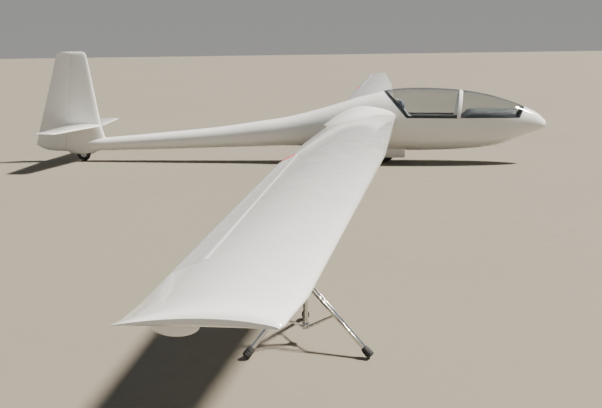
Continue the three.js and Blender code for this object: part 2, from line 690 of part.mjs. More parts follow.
// Wings
const wingWhole = wingSolid(WING_ROOT_Y);
const wingLeft = makeWing(wingWhole);
const aileronLeft = makeAileron(wingWhole);
const brakeLeft = makeAirbrake(wingWhole);
place('wing_left', wingLeft, gelcoat);
place('wing_right', mirrored(wingLeft), gelcoat);
place('aileron_left', aileronLeft, gelcoat);
place('aileron_right', mirrored(aileronLeft), gelcoat);
place('airbrake_left', brakeLeft, gelcoat);
place('airbrake_right', mirrored(brakeLeft), gelcoat);

// Canopy
const rearPane = canopyZone(PLAY, ['rear', PLAY], ['archBack', GAP]);
const rearOpen = canopyZone(PLAY + CANOPY.edge, ['rear', PLAY + CANOPY.edge], ['archBack', -1]);
const frontPane = canopyZone(GAP, ['archFront', 0], ['nose', GAP]);
const frontOpen = canopyZone(GAP + SCREEN_EDGE, ['archFront', -1], ['nose', SCREEN_EDGE]);
const border = skin(CANOPY.glassIn + GAP, CANOPY.frameIn);
place('canopy_frame', border.intersect(rearPane).subtract(rearOpen), dark);
place('canopy_glass', skin(1, CANOPY.glassIn).intersect(rearPane), clear);
place('canopy_arch', skin(0, CANOPY.frameIn).intersect(canopyZone(PLAY, ['archBack', 0], ['archFront', PLAY])), gelcoat);
place('windscreen_frame', border.intersect(frontPane).subtract(frontOpen), dark);
place('windscreen', skin(1, CANOPY.glassIn).intersect(frontPane), clear);

// Main wheel and gear
const tyreProfile = [[WHEEL.rimR + GAP, -34], [WHEEL.rimR + 24, -52], [WHEEL.r - 32, -WHEEL.halfWidth],
  [WHEEL.r - 10, -46], [WHEEL.r, -22], [WHEEL.r, 22], [WHEEL.r - 10, 46], [WHEEL.r - 32, WHEEL.halfWidth],
  [WHEEL.rimR + 24, 52], [WHEEL.rimR + GAP, 34], [WHEEL.rimR + GAP, -34]];
place('main_tyre', turned(tyreProfile, WHEEL.x, WHEEL.z, 32), rubber);
const rimProfile = [[WHEEL.axleR + GAP, -WHEEL.hubHalf], [30, -WHEEL.hubHalf], [34, -14], [WHEEL.rimR - 12, -14],
  [WHEEL.rimR - 6, -38], [WHEEL.rimR, -33], [WHEEL.rimR, 33], [WHEEL.rimR - 6, 38], [WHEEL.rimR - 12, 14],
  [34, 14], [30, WHEEL.hubHalf], [WHEEL.axleR + GAP, WHEEL.hubHalf], [WHEEL.axleR + GAP, -WHEEL.hubHalf]];
place('main_rim', turned(rimProfile, WHEEL.x, WHEEL.z, 32), metal);

place('main_axle', rod([WHEEL.x, -LEG.y - 20, WHEEL.z], [WHEEL.x, LEG.y + 20, WHEEL.z], WHEEL.axleR), metal);
const legLeft = rod([WHEEL.x, LEG.y, WHEEL.z - 14], [LEG.topX, LEG.y, LEG.topZ], LEG.r)
  .add(rod([WHEEL.x, LEG.y - 14, WHEEL.z], [WHEEL.x, LEG.y + 14, WHEEL.z], 24))
  .subtract(rod([WHEEL.x, 0, WHEEL.z], [WHEEL.x, 200, WHEEL.z], WHEEL.axleR + GAP));
const strutLeft = rod([WHEEL.x + 8, LEG.y, WHEEL.z + 18], [STRUT.topX, LEG.y, STRUT.topZ], STRUT.r);
const cross = rod([LEG.topX, -WELL.half + GAP, LEG.topZ], [LEG.topX, WELL.half - GAP, LEG.topZ], LEG.crossR + 6)
  .add(rod([STRUT.topX, -WELL.half + GAP, STRUT.topZ], [STRUT.topX, WELL.half - GAP, STRUT.topZ], LEG.crossR));
const gearFrame = legLeft.add(strutLeft).add(mirrored(legLeft.add(strutLeft))).add(cross);
place('gear_frame', gearFrame, grey);

const wellOuter = box(WELL.back + GAP, WELL.front - GAP, -WELL.half - WELL.wall, WELL.half + WELL.wall, 150, WELL.top);
const wellShell = wellOuter
  .subtract(box(WELL.back + WELL.wall, WELL.front - WELL.wall, -WELL.half, WELL.half, 0, WELL.top - WELL.wall))
  .intersect(bodySolid(HOLLOW.front, HOLLOW.back + 2, WALL + GAP, INNER_STEPS));
place('wheel_well', wellShell, grey);

const doorLeft = box(DOOR.back, DOOR.front, DOOR.y - DOOR.thick, DOOR.y, DOOR.bottom, DOOR.top);
place('gear_door_left', doorLeft, gelcoat);
place('gear_door_right', mirrored(doorLeft), gelcoat);

// Tail wheel
const tailProfile = [[TAIL_WHEEL.rimR + GAP, -14], [TAIL_WHEEL.r - 14, -TAIL_WHEEL.halfWidth], [TAIL_WHEEL.r - 3, -14],
  [TAIL_WHEEL.r, 0], [TAIL_WHEEL.r - 3, 14], [TAIL_WHEEL.r - 14, TAIL_WHEEL.halfWidth],
  [TAIL_WHEEL.rimR + GAP, 14], [TAIL_WHEEL.rimR + GAP, -14]];
place('tail_tyre', turned(tailProfile, TAIL_WHEEL.x, TAIL_WHEEL.z, 24), rubber);
const tailRim = [[TAIL_WHEEL.axleR + GAP, -26], [20, -26], [22, -13], [TAIL_WHEEL.rimR, -13], [TAIL_WHEEL.rimR, 13],
  [22, 13], [20, 26], [TAIL_WHEEL.axleR + GAP, 26], [TAIL_WHEEL.axleR + GAP, -26]];
place('tail_rim', turned(tailRim, TAIL_WHEEL.x, TAIL_WHEEL.z, 24), metal);
place('tail_axle', rod([TAIL_WHEEL.x, -52, TAIL_WHEEL.z], [TAIL_WHEEL.x, 52, TAIL_WHEEL.z], TAIL_WHEEL.axleR), metal);

// Cockpit
function strip(points, near, far) {
  const offset = (i, d) => {
    const a = points[Math.max(i - 1, 0)];
    const b = points[Math.min(i + 1, points.length - 1)];
    const length = Math.hypot(b[0] - a[0], b[1] - a[1]);
    return [points[i][0] + (d * (a[1] - b[1])) / length, points[i][1] + (d * (b[0] - a[0])) / length];
  };
  const row = (d) => points.map((_, i) => offset(i, d));
  return [...row(near), ...row(far).reverse()];
}

const cockpitSpace = bodySolid(HOLLOW.front, HOLLOW.back + 2, WALL + GAP, INNER_STEPS);
const seatRoom = box(1600, 2600, -300, 300, 100, SEAT_BACK.above)
  .add(box(1600, 2600, -SEAT_BACK.half, SEAT_BACK.half, 100, 900));
const seatPan = prism(strip(SEAT, 0, -SEAT_SHELL), -300, 300).intersect(cockpitSpace).intersect(seatRoom);
place('seat_pan', seatPan, dark);
place('seat_cushion', prism(strip(SEAT.slice(1, 6), GAP, CUSHION), -150, 150), fabric);
const backAt = (t) => [0, 1].map((k) => SEAT[1][k] + t * (SEAT[0][k] - SEAT[1][k]));
const headrest = prism(strip([backAt(HEADREST.high), backAt(HEADREST.low)], GAP, HEADREST.deep), -HEADREST.half, HEADREST.half);
place('headrest', headrest, fabric);
const hoodInside = (extra) => bodySolid(COAMING.front + 5, COAMING.back - 5, COAMING.inset + COAMING.thick + extra, SHORT_STEPS)
  .intersect(box(COAMING.back - 10, COAMING.front + 10, -300, 300, 0, COAMING.top - COAMING.thick - extra));
const ledge = bodySolid(COAMING.front, COAMING.back, WALL + GAP, SHORT_STEPS)
  .intersect(box(COAMING.back, COAMING.front, -300, 300, COAMING.bottom, COAMING.bottom + COAMING.thick));
const hood = bodySolid(COAMING.front, COAMING.back, COAMING.inset, SHORT_STEPS)
  .intersect(prism(COAMING_SIDE, -300, 300))
  .add(ledge.intersect(cockpitSpace))
  .subtract(hoodInside(0));
place('coaming', hood, dark);
const panel = box(PANEL.x, PANEL.x + PANEL.thick, -300, 300, PANEL.bottom, 900).intersect(hoodInside(GAP));
const pedestal = box(PANEL.x + 1, PANEL.x + PEDESTAL.deep, -PEDESTAL.half, PEDESTAL.half, PEDESTAL.bottom, PANEL.bottom + 40)
  .intersect(cockpitSpace);
place('instrument_panel', panel.add(pedestal), grey);
const shelf = box(HOLLOW.back, SHELF.front, -300, 300, SHELF.z, SHELF.z + SHELF.thick)
  .intersect(cockpitSpace)
  .subtract(prism(strip(SEAT, GAP, -WELL.half), -300, 300));
place('seat_shelf', shelf, gelcoat);
const leverArms = LEVER.brackets.map((x) => box(x - LEVER.bracket, x + LEVER.bracket, LEVER.y, 300, LEVER.z - 5, LEVER.z + 5))
  .reduce((a, b) => a.add(b)).intersect(cockpitSpace);
const lever = rod([LEVER.back, LEVER.y, LEVER.z], [LEVER.front, LEVER.y, LEVER.z], LEVER.r)
  .add(rod([LEVER.front - 150, LEVER.y - 2, LEVER.z], [LEVER.front - 60, LEVER.y - 2, LEVER.z], LEVER.grip))
  .add(leverArms);
place('airbrake_lever', lever, blue);
const stick = rod(STICK.foot, STICK.top, STICK.r)
  .add(rod(STICK.top, [STICK.top[0] - 14, 0, STICK.top[2] + STICK.grip], STICK.gripR))
  .subtract(prism(strip(SEAT, GAP, -60), -60, 60));
place('control_stick', stick, dark);

// Stand under the right wing
const foot3 = ([x, y]) => new THREE.Vector3(x, y, 0);
const standTop = [STAND.x, STAND.y, STAND.cradleZ];
const column = rod([STAND.x, STAND.y, STAND.columnFoot], [STAND.x, STAND.y, STAND.innerFrom], STAND.tubeR)
  .add(rod([STAND.x, STAND.y, STAND.innerFrom - 1], standTop, STAND.innerR))
  .add(rod([STAND.x, STAND.y, STAND.innerFrom - 18], [STAND.x, STAND.y, STAND.innerFrom + 8], STAND.tubeR + 5));
place('stand_column', column, chrome);

// A flat bar between two points, wide across the leg's own plane
function bar(from, to, wide, deep, sideways) {
  const length = from.distanceTo(to);
  const geometry = new THREE.BoxGeometry(deep, wide, length);
  const along = to.clone().sub(from).normalize();
  const side = new THREE.Vector3(-along.y, along.x, 0).normalize();
  const normal = along.clone().cross(side).negate();
  geometry.applyMatrix4(new THREE.Matrix4().makeBasis(normal, side, along));
  const middle = from.clone().add(to).multiplyScalar(0.5).addScaledVector(side, sideways);
  geometry.translate(middle.x, middle.y, middle.z);
  return toSolid(geometry);
}

function standLeg(foot) {
  const end = foot3(foot);
  const out = end.clone().sub(new THREE.Vector3(STAND.x, STAND.y, 0)).setZ(0);
  const reach = out.length();
  out.normalize();
  const at = (r, z) => new THREE.Vector3(STAND.x, STAND.y, z).addScaledVector(out, r);
  const top = at(STAND.tubeR + 6, STAND.high);
  const shoe = at(reach, STAND.footZ);
  const knee = top.clone().lerp(shoe, STAND.knee);
  const strips = [-11, 11].map((side) => bar(top, knee.clone().lerp(shoe, 0.08), 3, 20, side));
  const lower = bar(knee.clone().lerp(top, 0.06), shoe, 20, 13, 0);
  const brace = bar(at(STAND.tubeR + 6, STAND.low), knee, 5, 15, 0);
  const pin = bar(knee.clone().lerp(top, 0.02), knee.clone().lerp(shoe, 0.05), 30, 10, 0);
  return [...strips, lower, brace, pin].reduce((a, b) => a.add(b));
}

const collars = [STAND.low, STAND.high].map((z) => rod([STAND.x, STAND.y, z - 16], [STAND.x, STAND.y, z + 16], STAND.collarR));
const columnBore = rod([STAND.x, STAND.y, 0], [STAND.x, STAND.y, 700], STAND.tubeR + GAP);
const standLegs = [...collars, ...STAND_FEET.map(standLeg)].reduce((a, b) => a.add(b)).subtract(columnBore);

function standFoot(foot, extra) {
  const out = foot3(foot).sub(new THREE.Vector3(STAND.x, STAND.y, 0)).setZ(0);
  const reach = out.length();
  out.normalize();
  const top = new THREE.Vector3(STAND.x, STAND.y, STAND.high).addScaledVector(out, STAND.tubeR + 6);
  const shoe = new THREE.Vector3(STAND.x, STAND.y, STAND.footZ).addScaledVector(out, reach);
  const along = shoe.clone().sub(top).normalize();
  const from = shoe.clone().addScaledVector(along, -STAND.foot * 0.55 - extra);
  const to = shoe.clone().addScaledVector(along, STAND.foot * 0.45);
  return rod(from.toArray(), to.toArray(), STAND.footR + extra).intersect(box(0, 3000, -9000, 0, 0, 400));
}
const feet = STAND_FEET.map((foot) => standFoot(foot, 0));
const feetRoom = STAND_FEET.map((foot) => standFoot(foot, GAP)).reduce((a, b) => a.add(b));
place('stand_legs', standLegs.subtract(feetRoom), chrome);
feet.forEach((solid, i) => place(`stand_foot_${i + 1}`, solid, rubber));
const wingRoom = mirrored(wingWhole).translate([0, 0, -GAP]).add(mirrored(wingWhole));
const cradle = box(STAND.x - 150, STAND.x + 150, STAND.y - 45, STAND.y + 45, STAND.cradleZ + GAP, 1000);
place('stand_cradle', cradle.subtract(wingRoom).intersect(box(0, 3000, -9000, 0, 0, 840)), dark);

export default group;
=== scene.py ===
# %% [markdown]
# # A single-seat sailplane, dressed over its CAD frame
# The CAD model gives every size, joint and mount. This script gives the parts their finished surfaces.
# The big skins are laid again as smooth sheets, because the CAD ones have flat facets that gloss would show.
# Everything is in metres: +X is the nose, +Y the left wing tip, +Z up, the origin on the ground at mid length.

# %% Load the frame
import math

import bmesh
import bpy
import numpy as np
from mathutils import Matrix, Vector


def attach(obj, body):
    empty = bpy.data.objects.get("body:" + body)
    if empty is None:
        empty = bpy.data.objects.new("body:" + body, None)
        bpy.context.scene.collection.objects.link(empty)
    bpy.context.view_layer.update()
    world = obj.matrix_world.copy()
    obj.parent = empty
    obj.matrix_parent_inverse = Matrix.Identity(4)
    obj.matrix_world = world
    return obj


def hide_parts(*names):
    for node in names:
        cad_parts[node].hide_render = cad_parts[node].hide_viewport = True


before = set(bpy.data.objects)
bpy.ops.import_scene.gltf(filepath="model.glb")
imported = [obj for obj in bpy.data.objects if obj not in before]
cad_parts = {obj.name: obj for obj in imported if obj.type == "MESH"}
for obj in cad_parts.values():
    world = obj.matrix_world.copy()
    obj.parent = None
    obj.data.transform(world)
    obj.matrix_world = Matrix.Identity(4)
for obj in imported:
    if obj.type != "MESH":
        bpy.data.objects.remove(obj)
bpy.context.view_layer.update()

# %% [markdown]
# ## Working habits
# So one helper always clears the selection and picks a single piece, and another opens it for editing.
# Faces are chosen in code by where they are and which way they look, as a hand would pick them on screen.


# %% Picking and editing
def leave_edit():
    if bpy.context.object and bpy.context.object.mode != "OBJECT":
        bpy.ops.object.mode_set(mode="OBJECT")


def pick(piece):
    leave_edit()
    bpy.ops.object.select_all(action="DESELECT")
    piece.select_set(True)
    bpy.context.view_layer.objects.active = piece
    return piece


def clear_pick():
    leave_edit()
    bpy.ops.object.select_all(action="DESELECT")


def edit(piece):
    pick(piece)
    bpy.ops.object.mode_set(mode="EDIT")
    bpy.ops.mesh.select_mode(type="FACE")
    bpy.ops.mesh.select_all(action="SELECT")


def choose(piece, wanted):
    """Select the faces for which wanted(centre, normal) is true, and say how many there are."""
    mesh = bmesh.from_edit_mesh(piece.data)
    mesh.faces.ensure_lookup_table()
    count = 0
    for face in mesh.faces:
        face.select_set(False)
    for face in mesh.faces:
        if wanted(face.calc_center_median(), face.normal):
            face.select_set(True)
            count += 1
    bmesh.update_edit_mesh(piece.data)
    return count


def modify(piece, kind, **settings):
    pick(piece)
    modifier = piece.modifiers.new(kind.title(), kind)
    for key, value in settings.items():
        setattr(modifier, key, value)
    bpy.ops.object.modifier_apply(modifier=modifier.name)
    return piece


def round_edges(piece, width, degrees=50, segments=2):
    """Bevel the edges that are sharper than the angle, as a file takes them off."""
    return modify(piece, "BEVEL", width=width, segments=segments, limit_method="ANGLE",
                  angle_limit=math.radians(degrees))


def carve(piece, tool):
    """Take the tool's shape out of the piece, and throw the tool away."""
    modify(piece, "BOOLEAN", operation="DIFFERENCE", solver="EXACT", object=tool)
    bpy.data.objects.remove(tool)


def soften(piece, degrees=35):
    pick(piece)
    bpy.ops.object.shade_smooth_by_angle(angle=math.radians(degrees))
    return piece


def twin(piece, name):
    copy = piece.copy()
    copy.data = piece.data.copy()
    copy.name = name
    bpy.context.collection.objects.link(copy)
    return copy


def other_side(piece, name):
    """A mirror image in the left-right plane, with its faces turned to point outwards again."""
    copy = twin(piece, name)
    pick(copy)
    copy.scale.y = -1
    bpy.ops.object.transform_apply(location=True, rotation=True, scale=True)
    bpy.ops.object.mode_set(mode="EDIT")
    bpy.ops.mesh.select_all(action="SELECT")
    bpy.ops.mesh.flip_normals()
    leave_edit()
    return copy


def join(pieces, name):
    clear_pick()
    for piece in pieces:
        piece.select_set(True)
    bpy.context.view_layer.objects.active = pieces[0]
    bpy.ops.object.join()
    joined = bpy.context.object
    joined.name = name
    return joined


def settle(piece):
    pick(piece)
    bpy.ops.object.transform_apply(location=True, rotation=True, scale=True)
    return piece


finished = []


def dress(piece, name, body, material, stands_for=()):
    """Name a piece, give it its finish, hang it on the body that it rides on, and hide the CAD nodes that it stands
    for.
    """
    settle(piece)
    piece.name = name
    piece.data.name = name
    piece.data.materials.clear()
    piece.data.materials.append(material)
    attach(piece, body)
    if stands_for:
        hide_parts(*stands_for)
    finished.append(name)
    return piece


def dress_both(left, name, body, material, stands_for=()):
    """Dress a left piece and its mirror image. SIDE in a name becomes left or right."""
    for side, piece in (("right", other_side(left, name.replace("SIDE", "right"))), ("left", left)):
        dress(piece, name.replace("SIDE", side), body.replace("SIDE", side), material,
              [node_name.replace("SIDE", side) for node_name in stands_for])


# %% [markdown]
# ## Node groups
# Real surfaces are never one flat value: gelcoat ages unevenly, metal has a grain, cloth has a weave.
# Each of these effects is a shader node group that is built once, with named inputs and outputs.
# A group gives out only colours, values and heights, and each material feeds them to its own Principled shader.


# %% Node helpers
def node(tree, kind, at=(0, 0), settings=(), **values):
    made = tree.nodes.new(kind)
    made.location = at
    for key, value in dict(settings).items():
        setattr(made, key, value)
    for key, value in values.items():
        socket = made.inputs[int(key[1:])] if key[0] == "i" and key[1:].isdigit() else made.inputs[key]
        if isinstance(value, bpy.types.NodeSocket):
            tree.links.new(value, socket)
        else:
            socket.default_value = value
    return made


FLOAT, COLOUR = "NodeSocketFloat", "NodeSocketColor"
EFFECT_OUTPUTS = (("Colour", COLOUR), ("Roughness", FLOAT), ("Height", FLOAT))


def group(name, inputs):
    """A node group. Each effect gives out a colour, a roughness and a height."""
    tree = bpy.data.node_groups.new(name, "ShaderNodeTree")
    for label, kind, value in inputs:
        socket = tree.interface.new_socket(name=label, in_out="INPUT", socket_type=kind)
        socket.default_value = value
    for label, kind in EFFECT_OUTPUTS:
        tree.interface.new_socket(name=label, in_out="OUTPUT", socket_type=kind)
    return tree, tree.nodes.new("NodeGroupInput"), tree.nodes.new("NodeGroupOutput")


def noise(tree, vector, scale, detail=3.0, rough=0.5):
    made = node(tree, "ShaderNodeTexNoise", Vector=vector, Scale=scale, Detail=detail, Roughness=rough)
    return made.outputs["Fac"]


def remap(tree, value, low, high, to_low, to_high):
    ends = {"From Min": low, "From Max": high, "To Min": to_low, "To Max": to_high}
    return node(tree, "ShaderNodeMapRange", Value=value, **ends).outputs["Result"]


def maths(tree, what, a, b=0.0):
    return node(tree, "ShaderNodeMath", settings={"operation": what}, i0=a, i1=b).outputs[0]


def blend_colours(tree, factor, a, b):
    return node(tree, "ShaderNodeMix", settings={"data_type": "RGBA"}, i0=factor, i6=a, i7=b).outputs[2]


def give_out(tree, out, *sockets):
    for (label, kind), socket in zip(EFFECT_OUTPUTS, sockets):
        tree.links.new(socket, out.inputs[label])


# %% Ageing, for paint, gelcoat and plastics
def make_ageing():
    tree, given, out = group(
        "ageing",
        [("Colour", COLOUR, (0.8, 0.8, 0.8, 1)), ("Stain", COLOUR, (0.6, 0.58, 0.5, 1)),
         ("Patch Scale", FLOAT, 1.5), ("Stain Amount", FLOAT, 0.2),
         ("Smooth", FLOAT, 0.15), ("Rough", FLOAT, 0.3), ("Grain Scale", FLOAT, 300.0)],
    )
    where = node(tree, "ShaderNodeTexCoord").outputs["Object"]
    patches = noise(tree, where, given.outputs["Patch Scale"], 6.0, 0.6)
    amount = maths(tree, "MULTIPLY", remap(tree, patches, 0.45, 0.75, 0.0, 1.0), given.outputs["Stain Amount"])
    specks = remap(tree, noise(tree, where, 90.0, 2.0), 0.68, 0.74, 0.0, 1.0)
    amount = maths(tree, "ADD", amount, maths(tree, "MULTIPLY", specks, maths(tree, "MULTIPLY", amount, 0.6)))
    colour = blend_colours(tree, amount, given.outputs["Colour"], given.outputs["Stain"])
    rough = remap(tree, noise(tree, where, 7.0, 5.0, 0.65), 0.3, 0.7, given.outputs["Smooth"], given.outputs["Rough"])
    height = maths(tree, "ADD", noise(tree, where, given.outputs["Grain Scale"], 2.0),
                   maths(tree, "MULTIPLY", noise(tree, where, 3.0, 1.0), 2.0))
    give_out(tree, out, colour, rough, height)
    return tree


ageing = make_ageing()


# %% Brushing, for metals
def make_brushing():
    tree, given, out = group(
        "brushing",
        [("Colour", COLOUR, (0.7, 0.7, 0.7, 1)), ("Dull", COLOUR, (0.4, 0.4, 0.4, 1)),
         ("Smooth", FLOAT, 0.15), ("Rough", FLOAT, 0.4), ("Scale", FLOAT, 60.0), ("Tarnish", FLOAT, 0.4)],
    )
    where = node(tree, "ShaderNodeTexCoord").outputs["Object"]
    stretched = node(tree, "ShaderNodeMapping", Vector=where, Scale=(1.0, 1.0, 0.04)).outputs[0]
    lines = noise(tree, stretched, maths(tree, "MULTIPLY", given.outputs["Scale"], 12.0), 3.0)
    spots = remap(tree, noise(tree, where, given.outputs["Scale"], 5.0, 0.7), 0.52, 0.72, 0.0, 1.0)
    amount = maths(tree, "MULTIPLY", spots, given.outputs["Tarnish"])
    colour = blend_colours(tree, amount, given.outputs["Colour"], given.outputs["Dull"])
    rough = remap(tree, maths(tree, "ADD", lines, amount), 0.3, 1.0, given.outputs["Smooth"], given.outputs["Rough"])
    give_out(tree, out, colour, rough, lines)
    return tree


brushing = make_brushing()


# %% Weave, for cloth and webbing
def make_weave():
    tree, given, out = group(
        "weave",
        [("Colour", COLOUR, (0.2, 0.2, 0.2, 1)), ("Thread", COLOUR, (0.3, 0.3, 0.3, 1)), ("Threads", FLOAT, 600.0),
         ("Fuzz", FLOAT, 0.4)],
    )
    where = node(tree, "ShaderNodeTexCoord").outputs["Object"]
    axes = node(tree, "ShaderNodeSeparateXYZ", Vector=where).outputs
    waves = [maths(tree, "SINE", maths(tree, "MULTIPLY", axes[i], given.outputs["Threads"])) for i in (0, 1, 2)]
    over = maths(tree, "MULTIPLY", maths(tree, "ADD", waves[0], waves[2]), waves[1])
    cloth = remap(tree, over, -1.0, 1.0, 0.0, 1.0)
    fuzz = maths(tree, "MULTIPLY", noise(tree, where, 140.0, 6.0, 0.7), given.outputs["Fuzz"])
    mask = maths(tree, "ADD", maths(tree, "MULTIPLY", cloth, 0.5), fuzz)
    colour = blend_colours(tree, mask, given.outputs["Colour"], given.outputs["Thread"])
    give_out(tree, out, colour, remap(tree, mask, 0.0, 1.0, 0.75, 0.98), mask)
    return tree


weave = make_weave()


# %% [markdown]
# ## Materials
# Every finish is a Principled shader fed by one of the groups, with its own colours and scales.
# White gelcoat is glossy under a clear top layer, so it gets a coat. Aged metal varies in roughness.
# A number that is the same all over, such as the coat or the sheen, sits on the shader's own socket.


# %% Material maker
def finish_of(name, effect, settings, bump=0.1, distance=0.0005, **shader_values):
    material = bpy.data.materials.new(name)
    material.use_nodes = True
    tree = material.node_tree
    shader = tree.nodes["Principled BSDF"]
    source = node(tree, "ShaderNodeGroup", (-400, 0), {"node_tree": effect})
    for key, value in settings.items():
        source.inputs[key].default_value = value
    tree.links.new(source.outputs["Colour"], shader.inputs["Base Color"])
    tree.links.new(source.outputs["Roughness"], shader.inputs["Roughness"])
    relief = node(tree, "ShaderNodeBump", (-200, -300), Height=source.outputs["Height"], Strength=bump,
                  Distance=distance)
    tree.links.new(relief.outputs["Normal"], shader.inputs["Normal"])
    for key, value in shader_values.items():
        shader.inputs[key.replace("_", " ")].default_value = value
    return material


def rgb(r, g, b):
    return (r, g, b, 1.0)


# %% The finishes
gelcoat = finish_of("gelcoat_white", ageing, {
    "Colour": rgb(0.80, 0.795, 0.765), "Stain": rgb(0.70, 0.67, 0.59), "Patch Scale": 1.1, "Stain Amount": 0.22,
    "Smooth": 0.10, "Rough": 0.24, "Grain Scale": 55.0}, 0.035, 0.002, Coat_Weight=0.7, Coat_Roughness=0.06)
# Painted sky reflection and painted shade: the ailerons get a darker, bluer copy of the white gelcoat.
aileron_gelcoat_painted_sky_reflection = finish_of("gelcoat_ailerons_painted_sky_reflection", ageing, {
    "Colour": rgb(0.60, 0.63, 0.645), "Stain": rgb(0.55, 0.56, 0.54), "Patch Scale": 1.6, "Stain Amount": 0.25,
    "Smooth": 0.12, "Rough": 0.26, "Grain Scale": 55.0}, 0.035, 0.002, Coat_Weight=0.6, Coat_Roughness=0.08)
inner_paint = finish_of("cockpit_paint", ageing, {
    "Colour": rgb(0.30, 0.31, 0.31), "Stain": rgb(0.20, 0.195, 0.18), "Patch Scale": 4.0, "Stain Amount": 0.5,
    "Smooth": 0.5, "Rough": 0.75, "Grain Scale": 420.0}, 0.5, 0.0006)
lining_paint = finish_of("cockpit_lining_paint", ageing, {
    "Colour": rgb(0.085, 0.09, 0.092), "Stain": rgb(0.14, 0.14, 0.135), "Patch Scale": 5.0, "Stain Amount": 0.5,
    "Smooth": 0.5, "Rough": 0.75, "Grain Scale": 420.0}, 0.5, 0.0006)
grey_paint = finish_of("gear_grey_paint", ageing, {
    "Colour": rgb(0.30, 0.31, 0.32), "Stain": rgb(0.13, 0.12, 0.10), "Patch Scale": 9.0, "Stain Amount": 0.6,
    "Smooth": 0.35, "Rough": 0.6, "Grain Scale": 500.0}, 0.35, 0.0004)
panel_paint = finish_of("panel_crackle_paint", ageing, {
    "Colour": rgb(0.055, 0.058, 0.062), "Stain": rgb(0.11, 0.11, 0.11), "Patch Scale": 14.0, "Stain Amount": 0.4,
    "Smooth": 0.42, "Rough": 0.62, "Grain Scale": 900.0}, 0.9, 0.0006)
dark_trim = finish_of("dark_canopy_frame", ageing, {
    "Colour": rgb(0.022, 0.024, 0.027), "Stain": rgb(0.06, 0.06, 0.06), "Patch Scale": 8.0, "Stain Amount": 0.5,
    "Smooth": 0.3, "Rough": 0.5, "Grain Scale": 700.0}, 0.3, 0.0003)
hood_skin = finish_of("coaming_grained_vinyl", ageing, {
    "Colour": rgb(0.035, 0.037, 0.04), "Stain": rgb(0.08, 0.08, 0.078), "Patch Scale": 6.0, "Stain Amount": 0.5,
    "Smooth": 0.55, "Rough": 0.8, "Grain Scale": 650.0}, 1.0, 0.0008)
black_rubber = finish_of("black_rubber", ageing, {
    "Colour": rgb(0.018, 0.018, 0.018), "Stain": rgb(0.12, 0.11, 0.095), "Patch Scale": 12.0, "Stain Amount": 0.55,
    "Smooth": 0.6, "Rough": 0.9, "Grain Scale": 500.0}, 0.6, 0.0006)
black_steel = finish_of("black_painted_steel", ageing, {
    "Colour": rgb(0.03, 0.03, 0.032), "Stain": rgb(0.2, 0.15, 0.1), "Patch Scale": 22.0, "Stain Amount": 0.4,
    "Smooth": 0.3, "Rough": 0.55, "Grain Scale": 600.0}, 0.3, 0.0004)
blue_paint = finish_of("blue_handle_paint", ageing, {
    "Colour": rgb(0.02, 0.09, 0.36), "Stain": rgb(0.2, 0.24, 0.3), "Patch Scale": 30.0, "Stain Amount": 0.4,
    "Smooth": 0.2, "Rough": 0.45, "Grain Scale": 500.0}, 0.2, 0.0003, Coat_Weight=0.3)
yellow_paint = finish_of("yellow_handle_paint", ageing, {
    "Colour": rgb(0.62, 0.42, 0.02), "Stain": rgb(0.3, 0.22, 0.08), "Patch Scale": 30.0, "Stain Amount": 0.5,
    "Smooth": 0.25, "Rough": 0.5, "Grain Scale": 500.0}, 0.2, 0.0003, Coat_Weight=0.3)
red_tape = finish_of("red_tape", ageing, {
    "Colour": rgb(0.66, 0.05, 0.05), "Stain": rgb(0.78, 0.34, 0.33), "Patch Scale": 45.0, "Stain Amount": 0.7,
    "Smooth": 0.35, "Rough": 0.6, "Grain Scale": 250.0}, 0.4, 0.0004)
white_tape = finish_of("white_tape", ageing, {
    "Colour": rgb(0.78, 0.78, 0.76), "Stain": rgb(0.55, 0.53, 0.47), "Patch Scale": 14.0, "Stain Amount": 0.5,
    "Smooth": 0.3, "Rough": 0.5, "Grain Scale": 260.0}, 0.25, 0.0004)
chrome = finish_of("chrome_plate", brushing, {
    "Colour": rgb(0.62, 0.62, 0.61), "Dull": rgb(0.34, 0.30, 0.25), "Smooth": 0.08, "Rough": 0.28, "Scale": 40.0,
    "Tarnish": 0.35}, 0.06, 0.0002, Metallic=1.0)
alloy = finish_of("satin_alloy", brushing, {
    "Colour": rgb(0.62, 0.63, 0.64), "Dull": rgb(0.30, 0.29, 0.27), "Smooth": 0.22, "Rough": 0.45, "Scale": 30.0,
    "Tarnish": 0.5}, 0.2, 0.0003, Metallic=1.0)
steel = finish_of("worn_steel", brushing, {
    "Colour": rgb(0.44, 0.44, 0.44), "Dull": rgb(0.17, 0.12, 0.08), "Smooth": 0.25, "Rough": 0.55, "Scale": 70.0,
    "Tarnish": 0.7}, 0.3, 0.0003, Metallic=1.0)
seat_cloth = finish_of("seat_cloth", weave, {
    "Colour": rgb(0.035, 0.04, 0.052), "Thread": rgb(0.10, 0.11, 0.135), "Threads": 2400.0, "Fuzz": 0.5},
    0.7, 0.0006, Sheen_Weight=0.35, Sheen_Roughness=0.5)
webbing = finish_of("belt_webbing", weave, {
    "Colour": rgb(0.05, 0.055, 0.06), "Thread": rgb(0.14, 0.15, 0.155), "Threads": 3600.0, "Fuzz": 0.3},
    0.8, 0.0005, Sheen_Weight=0.2, Sheen_Roughness=0.4)
carpet = finish_of("stand_carpet", weave, {
    "Colour": rgb(0.05, 0.05, 0.055), "Thread": rgb(0.12, 0.12, 0.125), "Threads": 1500.0, "Fuzz": 1.0},
    1.0, 0.0015, Sheen_Weight=0.5, Sheen_Roughness=0.6)


# %% [markdown]
# Clear acrylic bends and reflects light. A path tracer would keep the cockpit behind it dark, because lamps
# can't find a way through refraction, so rays on their way to a lamp pass by a Transparent shader instead.


